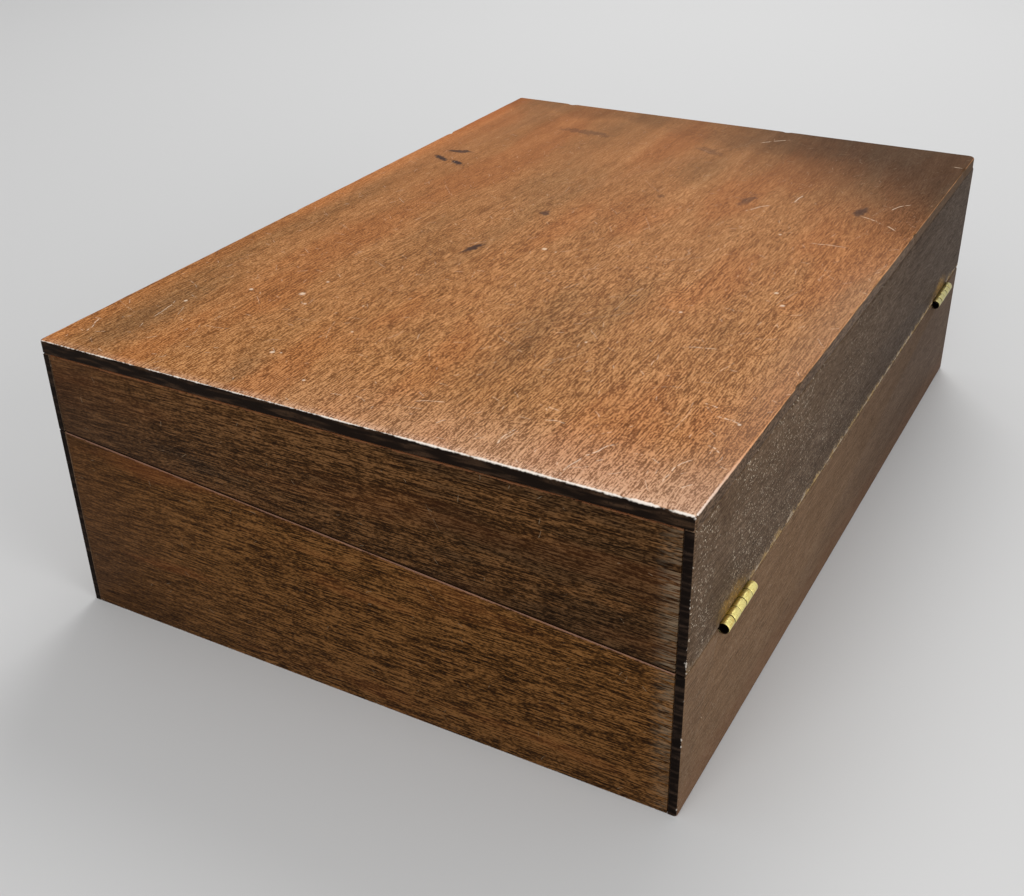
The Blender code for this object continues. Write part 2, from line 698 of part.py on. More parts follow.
def keyhole_outline():
    start = math.asin(KEYHOLE_SLOT_WIDTH / 2 / KEYHOLE_RADIUS)
    outline = []
    for step in range(KEYHOLE_SIDES + 1):
        angle = -math.pi / 2 + start + (math.tau - 2 * start) * step / KEYHOLE_SIDES
        outline.append((KEYHOLE_RADIUS * math.cos(angle), KEYHOLE_RADIUS * math.sin(angle)))
    outline.append((-KEYHOLE_SLOT_WIDTH / 2, -KEYHOLE_SLOT_DROP))
    outline.append((KEYHOLE_SLOT_WIDTH / 2, -KEYHOLE_SLOT_DROP))
    return outline


def oval(width, height, sides):
    turns = [math.tau * step / sides for step in range(sides)]
    return [(width / 2 * math.cos(turn), height / 2 * math.sin(turn)) for turn in turns]


def lock(boards, lock_screw):
    board = boards["base_lock_side"]
    plate_outline = [(LOCK_BACK, PLATE_FOOT), (LOCK_BACK, base_rim(LOCK_BACK)),
                     (CASE_FRONT, base_rim(CASE_FRONT)),
                     (CASE_FRONT, selvedge(CASE_FRONT, LOCK_SHEET)),
                     (LOCK_FRONT, selvedge(LOCK_FRONT, LOCK_SHEET)), (LOCK_FRONT, PLATE_FOOT)]
    plate = piece("lock_plate", side_solid(plate_outline, LOCK_LENGTH / 2), "brass")
    # mortise for the plate, for its top over the case, and for the case
    half = LOCK_LENGTH / 2 + JOINT_GAP
    past = LOCK_BACK + OVERRUN
    sky = base_rim(CASE_FRONT) + OVERRUN
    plate_room = block((-half, LOCK_FRONT - JOINT_GAP, PLATE_FOOT - JOINT_GAP),
                       (half, past, sky))
    cut(board, cutter("lock_plate_mortise", plate_room))
    ys = (past, CASE_FRONT - JOINT_GAP)
    top_room = [(y, selvedge(y, LOCK_SHEET + JOINT_GAP)) for y in ys]
    top_room += [(y, selvedge(y, -OVERRUN)) for y in reversed(ys)]
    cut(board, cutter("lock_top_mortise", side_solid(top_room, half)))
    half = CASE_LENGTH / 2 + JOINT_GAP
    case_room = block((-half, CASE_FRONT - JOINT_GAP, CASE_FOOT_Z - JOINT_GAP),
                      (half, past, sky))
    cut(board, cutter("lock_case_mortise", case_room))
    # the case is open towards the plate and at its top
    half = CASE_LENGTH / 2
    ys = (CASE_FRONT, CASE_BACK)
    case_outline = [(ys[0], CASE_FOOT_Z), (ys[1], CASE_FOOT_Z)]
    case_outline += [(y, selvedge(y, LOCK_SHEET + JOINT_GAP)) for y in reversed(ys)]
    case = piece("lock_case", side_solid(case_outline, half), "old_brass")
    inside = half - CASE_SHEET
    hollow = block((-inside, CASE_FRONT + CASE_SHEET, CASE_FOOT_Z + CASE_SHEET),
                   (inside, past, sky))
    cut(case, cutter("lock_case_hollow", hollow))
    # one keyhole through escutcheon, board and case
    depth = (WIDTH / 2 + CASE_FRONT + CASE_SHEET) / 2 + OVERRUN
    middle = -WIDTH / 2 - OVERRUN + depth
    keyhole = cutter("keyhole", front_solid(keyhole_outline(), depth), (0, middle, KEYHOLE_Z))
    oval_z = KEYHOLE_Z - ESCUTCHEON_DROP
    sheet = ESCUTCHEON_SHEET
    liner = front_solid(oval(ESCUTCHEON_WIDTH, ESCUTCHEON_HEIGHT, ESCUTCHEON_SIDES), sheet / 2)
    escutcheon = piece("keyhole_escutcheon", liner, "brass", (0, (sheet - WIDTH) / 2, oval_z))
    grown = 2 * JOINT_GAP
    recess = front_solid(oval(ESCUTCHEON_WIDTH + grown, ESCUTCHEON_HEIGHT + grown,
                              ESCUTCHEON_SIDES), sheet + JOINT_GAP)
    cut(board, cutter("escutcheon_recess", recess, (0, -WIDTH / 2, oval_z)))
    for thing in (board, case, escutcheon):
        cut(thing, keyhole)
    pin_length = LOCK_FRONT - JOINT_GAP + WIDTH / 2 - KEY_PIN_SETBACK
    pin_y = -WIDTH / 2 + KEY_PIN_SETBACK + pin_length / 2
    shade_round(piece("lock_key_pin", rod(KEY_PIN_RADIUS, pin_length, ROD_SIDES), "steel",
                      (0, pin_y, KEYHOLE_Z), (math.pi / 2, 0, 0)))
    # slots in the top for the lid's links
    for number, side in ((1, -1), (2, 1)):
        x = side * LINK_SPACING / 2
        room_x = LINK_THICKNESS / 2 + LINK_CLEARANCE
        room_y = LINK_WIDTH / 2 + LINK_CLEARANCE
        slot = block((x - room_x, LINK_Y - room_y, LINK_FOOT), (x + room_x, LINK_Y + room_y, sky))
        cut(plate, cutter("link_slot_" + str(number), slot))
        x = side * (CASE_LENGTH + LOCK_EAR) / 2
        z = base_rim(LOCK_BACK) - LOCK_SCREW_DROP
        screw("lock_screw_" + str(number), lock_screw, LOCK_SCREW_LENGTH,
              (x, LOCK_BACK - SCREW_SINK, z), (-math.pi / 2, 0, 0), None, (plate, board))


def lock_bolt(bolt_pivot):
    # bar below the links, with a post and a finger beside each link, drawn from the front
    bar_top = -EYE_FLOOR - EYE_HEIGHT / 2 - BOLT_BAR_CLEAR
    bar_foot = bar_top - BOLT_BAR_HEIGHT
    finger = FINGER_HEIGHT / 2
    outline = []
    for centre in (-LINK_SPACING / 2, LINK_SPACING / 2):
        tip = centre - LINK_THICKNESS / 2 - FINGER_GAP
        post = centre - POST_REACH
        outline += [(post - POST_WIDTH, bar_top), (post - POST_WIDTH, finger), (tip, finger),
                    (tip, -finger), (post, -finger), (post, bar_top)]
    first = outline[0][0]
    last = outline[-1][0] + BOLT_TAIL
    outline[0] = (first, bar_foot)
    outline += [(last, bar_top), (last, bar_foot)]
    place = (0, LINK_Y, LINK_FOOT + EYE_FLOOR + EYE_HEIGHT / 2)
    bolt = piece("lock_bolt", front_solid(outline, FINGER_THICKNESS / 2), "brass", place,
                 parent=bolt_pivot)
    inset = BOLT_CHEEK_INSET
    cheek = block((first + inset, -BOLT_CHEEK / 2, bar_foot + inset),
                  (last - inset, BOLT_CHEEK / 2, bar_top - inset))
    cut(bolt, cutter("lock_bolt_cheeks", cheek, place, parent=bolt_pivot), "UNION")


def link_plate(boards, lid_pivot, short_screw):
    board = boards["lid_lock_side"]
    half_width = LINK_PLATE_WIDTH / 2
    half = LINK_PLATE_LENGTH / 2
    ys = (LINK_Y - half_width, LINK_Y + half_width)
    sheet = upright(LINK_PLATE_SHEET)
    outline = [(y, lid_rim(y)) for y in ys] + [(y, lid_rim(y) + sheet) for y in reversed(ys)]
    plate = piece("link_plate", side_solid(outline, half), "brass", parent=lid_pivot)
    ys = (ys[0] - JOINT_GAP, ys[1] + JOINT_GAP)
    room = [(y, lid_rim(y) - OVERRUN) for y in ys]
    room += [(y, lid_rim(y) + sheet + JOINT_GAP) for y in reversed(ys)]
    cut(board, cutter("link_plate_mortise", side_solid(room, half + JOINT_GAP),
                      parent=lid_pivot))
    root = lid_rim(LINK_Y) + sheet / 2
    for number, side in ((1, -1), (2, 1)):
        x = side * LINK_SPACING / 2
        thick = LINK_THICKNESS / 2
        link = block((x - thick, LINK_Y - LINK_WIDTH / 2, LINK_FOOT),
                     (x + thick, LINK_Y + LINK_WIDTH / 2, root))
        eye_low = LINK_FOOT + EYE_FLOOR
        eye = block((x - thick - OVERRUN, LINK_Y - EYE_WIDTH / 2, eye_low),
                    (x + thick + OVERRUN, LINK_Y + EYE_WIDTH / 2, eye_low + EYE_HEIGHT))
        cut(plate, cutter("link_" + str(number), link, parent=lid_pivot), "UNION")
        cut(plate, cutter("link_eye_" + str(number), eye, parent=lid_pivot))
        x = side * (LINK_SPACING / 2 + LINK_SCREW_REACH)
        z = lid_rim(LINK_Y) + upright(SCREW_SINK)
        screw("link_screw_" + str(number), short_screw, SCREW_LENGTH, (x, LINK_Y, z),
              (math.pi - SLOPE, 0, 0), lid_pivot, (plate, board))


def build():
    for thing in list(bpy.data.objects):
        bpy.data.objects.remove(thing)
    lid_pivot = pivot("lid_pivot", (0, HINGE_Y, HINGE_Z))
    drop = upright(FLAP_NOSE + FLAP_SETBACK)
    base_flap_pivot = pivot("base_flap_pivot", (0, FLAP_PIN_Y, base_rim(FLAP_PIN_Y) - drop))
    lid_flap_pivot = pivot("lid_flap_pivot", (0, FLAP_PIN_Y, lid_rim(FLAP_PIN_Y) + drop),
                           lid_pivot)
    bolt_pivot = pivot("bolt_pivot", (0, LINK_Y, LINK_FOOT))
    boards = carcass(lid_pivot)
    short_screw = screw_mesh("short_screw", SCREW_LENGTH)
    lock_screw = screw_mesh("lock_screw", LOCK_SCREW_LENGTH)
    for word, side in ENDS:
        butt_hinge(word, side, boards, lid_pivot, short_screw)
        inkwell(word, side)
    lip = divider()
    pen_space()
    writing_flap("base", lip, base_rim, 1, boards, base_flap_pivot)
    writing_flap("lid", -INNER_Y, lid_rim, -1, boards, lid_flap_pivot)
    end_ledges("base", DIVIDER_FLAP_FACE, base_rim, 1, None)
    end_ledges("lid", -INNER_Y, lid_rim, -1, lid_pivot)
    lid_lock_ledge(lid_pivot)
    lock(boards, lock_screw)
    lock_bolt(bolt_pivot)
    link_plate(boards, lid_pivot, short_screw)


build()
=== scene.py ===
import math

import bmesh
import bpy
from mathutils import Matrix, Vector, noise


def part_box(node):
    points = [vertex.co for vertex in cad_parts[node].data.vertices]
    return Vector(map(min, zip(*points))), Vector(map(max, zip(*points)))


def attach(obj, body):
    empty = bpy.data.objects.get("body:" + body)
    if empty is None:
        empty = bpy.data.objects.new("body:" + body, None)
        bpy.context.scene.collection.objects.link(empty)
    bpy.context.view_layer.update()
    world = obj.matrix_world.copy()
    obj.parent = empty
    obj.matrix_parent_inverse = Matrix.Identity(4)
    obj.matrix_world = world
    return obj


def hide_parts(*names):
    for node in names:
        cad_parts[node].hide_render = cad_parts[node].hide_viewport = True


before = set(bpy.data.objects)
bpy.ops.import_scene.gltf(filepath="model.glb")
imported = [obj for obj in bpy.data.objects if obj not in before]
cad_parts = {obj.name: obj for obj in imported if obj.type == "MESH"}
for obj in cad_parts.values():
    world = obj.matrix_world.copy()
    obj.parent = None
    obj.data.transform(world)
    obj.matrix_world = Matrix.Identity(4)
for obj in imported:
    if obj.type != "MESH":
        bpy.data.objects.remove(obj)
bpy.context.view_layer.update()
print("frame loaded")

# the box's own sizes, in metres
box = {"halfLength": 0.175, "halfWidth": 0.122, "height": 0.111,
       "seamAtHinge": 0.0555, "seamAtLock": 0.0755, "topBoard": 0.005}
slope = math.atan2(box["seamAtLock"] - box["seamAtHinge"], 2 * box["halfWidth"])
quarterTurn = math.pi / 2

bpy.context.scene.view_settings.view_transform = "Standard"

work = {"tree": None}  # the node tree that the functions below add to


def fill(node, inputs):
    for key, value in inputs.items():
        if isinstance(value, bpy.types.NodeSocket):
            work["tree"].links.new(value, node.inputs[key])
        else:
            node.inputs[key].default_value = value
    return node.outputs


def add(kind, inputs=None, **settings):
    node = work["tree"].nodes.new("ShaderNode" + kind)
    for name, value in settings.items():
        setattr(node, name, value)
    return fill(node, inputs or {})


def calc(operation, result, *values, clamp=False):
    # one node for each further value, and only the last one clamps
    for index, value in enumerate(values, 1):
        result = add("Math", {0: result, 1: value}, operation=operation,
                     use_clamp=clamp and index == len(values))[0]
    return result


def times(*values, clamp=False):
    return calc("MULTIPLY", *values, clamp=clamp)


def plus(*values, clamp=False):
    return calc("ADD", *values, clamp=clamp)


def minus(first, second, clamp=False):
    return calc("SUBTRACT", first, second, clamp=clamp)


def over(first, second):
    return calc("DIVIDE", first, second)


def most(*values):
    return calc("MAXIMUM", *values)


def least(*values):
    return calc("MINIMUM", *values)


def unsigned(value):
    return add("Math", {0: value}, operation="ABSOLUTE")[0]


def remap(value, low, high, toLow=0.0, toHigh=1.0):
    return add("MapRange", {"Value": value, "From Min": low, "From Max": high,
                            "To Min": toLow, "To Max": toHigh},
               interpolation_type="SMOOTHSTEP")["Result"]


def xyz(vector):
    return add("SeparateXYZ", {0: vector})


def vectorCalc(operation, *values):
    return add("VectorMath", dict(enumerate(values)), operation=operation)[0]


def lengthOf(vector):
    return add("VectorMath", {0: vector}, operation="LENGTH")["Value"]


def headed(vector, angle):
    return add("VectorRotate", {"Vector": vector, "Angle": angle}, rotation_type="Z_AXIS")[0]


def place(vector, scale=(1, 1, 1), turn=(0, 0, 0), move=(0, 0, 0)):
    return add("Mapping", {"Vector": vector, "Scale": scale, "Rotation": turn,
                           "Location": move})[0]


def grainNoise(vector, scale, detail=2.0, roughness=0.5):
    return add("TexNoise", {"Vector": vector, "Scale": scale, "Detail": detail,
                            "Roughness": roughness})["Fac"]


def streaks(vector, scale, detail=2.0, roughness=0.5, move=(0, 0, 0)):
    # noise drawn out along the axis with the smallest scale
    return grainNoise(place(vector, scale, move=move), 1.0, detail, roughness)


def swing(value, amount):
    # a noise's way from its middle, made larger or smaller
    return times(minus(value, 0.5), amount)


def mixColour(factor, first, second, blend="MIX"):
    return add("Mix", {0: factor, 6: first, 7: second}, data_type="RGBA", blend_type=blend,
               clamp_factor=True)[2]


def tinted(factor, colour, tint):
    return mixColour(factor, colour, mixColour(1.0, colour, tint, "MULTIPLY"))


def newGroup(name, inputs, outputs):
    # an input is a number, or the kind of its socket; the first one is always the vector
    tree = bpy.data.node_groups.new(name, "ShaderNodeTree")
    work["tree"] = tree
    for label, value in {"Vector": "Vector", **inputs}.items():
        kind = value if isinstance(value, str) else "Float"
        socket = tree.interface.new_socket(name=label, in_out="INPUT",
                                           socket_type="NodeSocket" + kind)
        if kind == "Float":
            socket.default_value = value
    for label in outputs:
        kind = "Color" if label == "Color" else "Float"
        tree.interface.new_socket(name=label, in_out="OUTPUT",
                                  socket_type="NodeSocket" + kind)
    return tree.nodes.new("NodeGroupInput").outputs, tree.nodes.new("NodeGroupOutput")


def finishGroup(sink, results):
    fill(sink, results)
    return work["tree"]


def useGroup(name, vector, inputs=None):
    return add("Group", {"Vector": vector, **(inputs or {})}, node_tree=groups[name])


def rgb(red, green, blue):
    # a colour as a paint program shows it, made linear
    def linear(value):
        value /= 255
        return value / 12.92 if value <= 0.04045 else ((value + 0.055) / 1.055) ** 2.4
    return (linear(red), linear(green), linear(blue), 1.0)


def buildWoodFigure():
    # mahogany with its grain along X: fine streaks, dark flecks and open pores
    source, sink = newGroup("woodFigure", {
        "Dark": "Color", "Mid": "Color", "Light": "Color", "Streak": 1.0, "Broad": 0.5,
        "Cloud": 0.5, "Fleck": 0.5, "Pore": 0.5, "Grit": 1.7},
        ("Color", "Height", "Figure"))
    wave = add("TexNoise", {"Vector": source["Vector"], "Scale": 15.0, "Detail": 3.5,
                            "Roughness": 0.6})["Color"]
    wave = vectorCalc("SUBTRACT", wave, (0.5, 0.5, 0.5))
    wave = vectorCalc("MULTIPLY", wave, (0.0, 0.0028, 0.0028))
    grain = vectorCalc("ADD", source["Vector"], wave)
    fine = streaks(grain, (170, 2200, 2200), 2, 0.6)
    grit = streaks(grain, (1100, 1900, 1900), 1, move=(2, 7, 1))
    broad = streaks(grain, (7, 110, 110), 4, 0.6)
    fleck = streaks(grain, (150, 1900, 1900), 1.5, move=(3, 1, 2))
    pore = streaks(grain, (130, 2300, 2300), 1, move=(1, 5, 4))
    cloud = streaks(source["Vector"], (40, 160, 160), 3)
    tone = times(plus(swing(fine, 2.3), swing(grit, source["Grit"])), source["Streak"])
    tone = plus(tone, swing(broad, source["Broad"]), swing(cloud, source["Cloud"]), 0.5,
                clamp=True)
    lower = mixColour(times(tone, 2.0, clamp=True), source["Dark"], source["Mid"])
    upper = minus(times(tone, 2.0), 1.0, clamp=True)
    colour = mixColour(upper, lower, source["Light"])
    flecks = times(remap(fleck, 0.42, 0.30), source["Fleck"])
    pores = times(remap(pore, 0.58, 0.66), source["Pore"])
    colour = mixColour(flecks, colour, source["Dark"])
    colour = mixColour(1.0, colour, minus(1.0, times(pores, 0.6)), "MULTIPLY")
    height = minus(times(fine, 0.5), pores)
    return finishGroup(sink, {"Color": colour, "Height": height, "Figure": tone})


def buildBoxEdges():
    # distances to the box's arrises, to the outer arris of its slanting seam, to the table
    # and to the top, and 1 on the faces inside the box
    source, sink = newGroup("boxEdges", {}, ("Arris", "Seam", "Foot", "Top", "Inner"))
    x, y, z = xyz(source["Vector"])
    fromEnd = minus(box["halfLength"], unsigned(x))
    fromSide = minus(box["halfWidth"], unsigned(y))
    top = minus(box["height"], z)
    upright = least(top, z)
    fromWall = least(fromEnd, fromSide)
    arris = least(most(fromEnd, fromSide), most(fromWall, upright))
    rise = times(minus(box["halfWidth"], y), math.tan(slope))
    seam = minus(minus(z, box["seamAtHinge"]), rise)
    return finishGroup(sink, {"Arris": arris, "Seam": most(fromWall, unsigned(seam)),
                              "Foot": z, "Top": top,
                              "Inner": remap(least(fromWall, upright), 0.0036, 0.0046)})


def buildWearMask():
    # 1 on a rubbed edge; a low Bias with a high Ragged leaves only scattered chips
    source, sink = newGroup("wearMask", {
        "Distance": 0.0, "Width": 0.001, "Bias": 1.0, "Ragged": 1.0}, ("Mask",))
    ragged = plus(swing(grainNoise(source["Vector"], 140), 2.2),
                  swing(grainNoise(source["Vector"], 1100), 2.0))
    width = times(source["Width"], plus(source["Bias"], times(ragged, source["Ragged"])))
    reach = over(source["Distance"], most(width, 0.00001))
    return finishGroup(sink, {"Mask": remap(reach, 1.1, 0.45)})


def buildHairMarks():
    # short scratches on the XY plane, one to a cell, each turned its own way
    source, sink = newGroup("hairMarks", {
        "Cells": 30.0, "Length": 0.004, "Width": 0.0001, "Share": 0.5}, ("Mask",))
    vector = source["Vector"]
    cell = add("TexVoronoi", {"Vector": vector, "Scale": source["Cells"]},
               voronoi_dimensions="2D")
    turnChance, shareChance, lengthChance = add("SeparateColor", {0: cell["Color"]})
    x, y, z = xyz(headed(vectorCalc("SUBTRACT", vector, cell["Position"]),
                         times(turnChance, math.tau)))
    length = times(source["Length"], plus(0.35, times(lengthChance, 0.9)))
    along = over(unsigned(x), length)
    bow = times(along, along, length, minus(lengthChance, 0.6), 0.4)
    across = unsigned(plus(y, bow, swing(grainNoise(vector, 260), 0.0012)))
    line = remap(over(across, source["Width"]), 1.0, 0.2)
    chosen = calc("LESS_THAN", shareChance, source["Share"])
    breaks = remap(grainNoise(vector, 700, 1), 0.34, 0.56)
    return finishGroup(sink, {
        "Mask": times(line, remap(along, 1.0, 0.7), chosen, breaks, clamp=True)})


def fromMiddle(source):
    # the way from a mark's middle along its heading; the mark before shifts it by far less
    # than an atom's width, which makes Cycles work the marks out one after another and
    # spare its memory
    local = vectorCalc("ADD", source["Vector"], times(source["Before"], 0.000000001))
    local = vectorCalc("SUBTRACT", local, source["Middle"])
    return headed(local, times(source["Heading"], -1.0))


def buildScratchMark():
    # one bowed scratch
    source, sink = newGroup("scratchMark", {
        "Middle": "Vector", "Heading": 0.0, "Length": 0.02, "Bow": 0.0, "Width": 0.0002,
        "Wobble": 0.0, "Gaps": 1.0, "Before": 0.0}, ("Mask",))
    x, y, z = xyz(fromMiddle(source))
    along = over(unsigned(x), times(source["Length"], 0.5))
    across = unsigned(plus(y, times(along, along, source["Bow"]), source["Wobble"]))
    line = remap(over(across, source["Width"]), 1.0, 0.2)
    mask = times(line, remap(along, 1.0, 0.75), source["Gaps"])
    return finishGroup(sink, {"Mask": most(mask, source["Before"])})


def buildStain():
    # a soaked-in spot with a soft ragged rim
    source, sink = newGroup("stain", {
        "Middle": "Vector", "Heading": 0.0, "Size": "Vector", "Ragged": 0.0,
        "Strength": 1.0, "Before": 0.0}, ("Mask",))
    reach = lengthOf(vectorCalc("DIVIDE", fromMiddle(source), source["Size"]))
    mask = times(remap(plus(reach, source["Ragged"]), 1.1, 0.4), source["Strength"])
    return finishGroup(sink, {"Mask": most(mask, source["Before"])})


def buildPaintedGlints():
    # tiny bright points: painted glints on the crazed polish
    source, sink = newGroup("paintedGlints", {"Scale": 900.0, "Amount": 0.5}, ("Mask",))
    vector = source["Vector"]
    cell = add("TexVoronoi", {"Vector": vector, "Scale": source["Scale"]})
    chance = add("SeparateColor", {0: cell["Color"]})
    dots = times(remap(cell["Distance"], times(chance[1], 0.32), 0.05),
                 calc("LESS_THAN", chance[0], 0.30))
    fineSpeckle = remap(grainNoise(vector, 2200, 1), 0.60, 0.72, 0.0, 0.16)
    patch = remap(grainNoise(vector, 38), 0.28, 0.56)
    return finishGroup(sink, {"Mask": times(most(dots, fineSpeckle), patch, source["Amount"])})


def buildEndGrain():
    # dark end grain with pinhole pores
    source, sink = newGroup("endGrain", {"Dark": "Color", "Light": "Color"}, ("Color",))
    ring = streaks(source["Vector"], (90, 90, 700))
    pores = remap(grainNoise(source["Vector"], 1500, 1), 0.58, 0.70)
    colour = mixColour(remap(ring, 0.45, 0.75), source["Dark"], source["Light"])
    return finishGroup(sink, {"Color": mixColour(times(pores, 0.7), colour,
                                                 source["Dark"])})


groups = {"wood": buildWoodFigure(), "edges": buildBoxEdges(), "wear": buildWearMask(),
          "hairs": buildHairMarks(), "scratch": buildScratchMark(), "stain": buildStain(),
          "paintedGlints": buildPaintedGlints(), "endGrain": buildEndGrain()}
print("node groups built")


def newMaterial(name):
    material = bpy.data.materials.new(name)
    material.use_nodes = True
    work["tree"] = material.node_tree
    shader = material.node_tree.nodes["Principled BSDF"]
    coordinates = add("TexCoord")
    return material, shader, coordinates["Object"], coordinates["Normal"]


def bump(height, strength, depth):
    return add("Bump", {"Height": height, "Strength": strength, "Distance": depth})[0]


def facing(normal, axis):
    # 1 on faces that look along an axis of the piece, either way
    return remap(unsigned(xyz(normal)[axis]), 0.6, 0.8)


def rimShade(normal, seam):
    # 1 on the rims that meet at the seam, which the light hardly reaches
    flat = remap(unsigned(xyz(normal)[2]), 0.80, 0.95)
    return times(flat, remap(seam, 0.0060, 0.0030))


def wear(vector, distance, width, bias, ragged):
    return useGroup("wear", vector, {"Distance": distance, "Width": width, "Bias": bias,
                                     "Ragged": ragged})["Mask"]


def raggedness(vector):
    return swing(grainNoise(vector, 420, 3), 1.6)


def hairFields(vector, rows):
    # a row is cells to a metre, half length, half width, share and strength
    layers = []
    for cells, length, width, share, strength in rows:
        field = useGroup("hairs", vector, {"Cells": cells, "Length": length,
                                           "Width": width, "Share": share})["Mask"]
        layers.append(times(field, strength))
    return most(*layers)


insideFinish = {
    "wood": {"Dark": rgb(78, 42, 23), "Mid": rgb(118, 68, 38), "Light": rgb(150, 94, 56),
             "Streak": 1.1, "Broad": 0.5, "Cloud": 0.4, "Fleck": 0.4, "Pore": 0.5},
    "ink": rgb(22, 20, 30), "roughness": 0.5, "roughSwing": 0.2, "specular": 0.12,
    "relief": 0.35, "reliefDepth": 0.00012}


def plainInside(edges, wood, colour):
    # cleaner, redder wood on the faces inside the box
    inner = mixColour(wood["Figure"], insideFinish["wood"]["Dark"],
                      insideFinish["wood"]["Light"])
    return mixColour(edges["Inner"], colour, inner)


def finishWood(shader, finish, wood, colour, dull=None):
    # the polish has sunk into the dark streaks and leaves them rougher
    rough = plus(finish["roughness"], times(minus(0.5, wood["Figure"]), finish["roughSwing"]))
    if dull:
        rough = plus(rough, dull, clamp=True)
    fill(shader, {"Base Color": colour, "Roughness": rough,
                  "Specular IOR Level": finish["specular"],
                  "Normal": bump(wood["Height"], finish["relief"], finish["reliefDepth"])})


hinge = {"y": 0.1233, "z": 0.0555, "x": 0.1358, "length": 0.0254, "radius": 0.00196,
         "bore": 0.0015, "pin": 0.0009, "recess": 0.0030, "knuckles": 5, "gap": 0.00014,
         "edge": 0.00020, "sides": 40, "pinSides": 24, "plateEnd": 0.0015,
         # how far each knuckle stands off the axis
         "stagger": (0.0, 0.00002, -0.00006, 0.00001, -0.00009)}

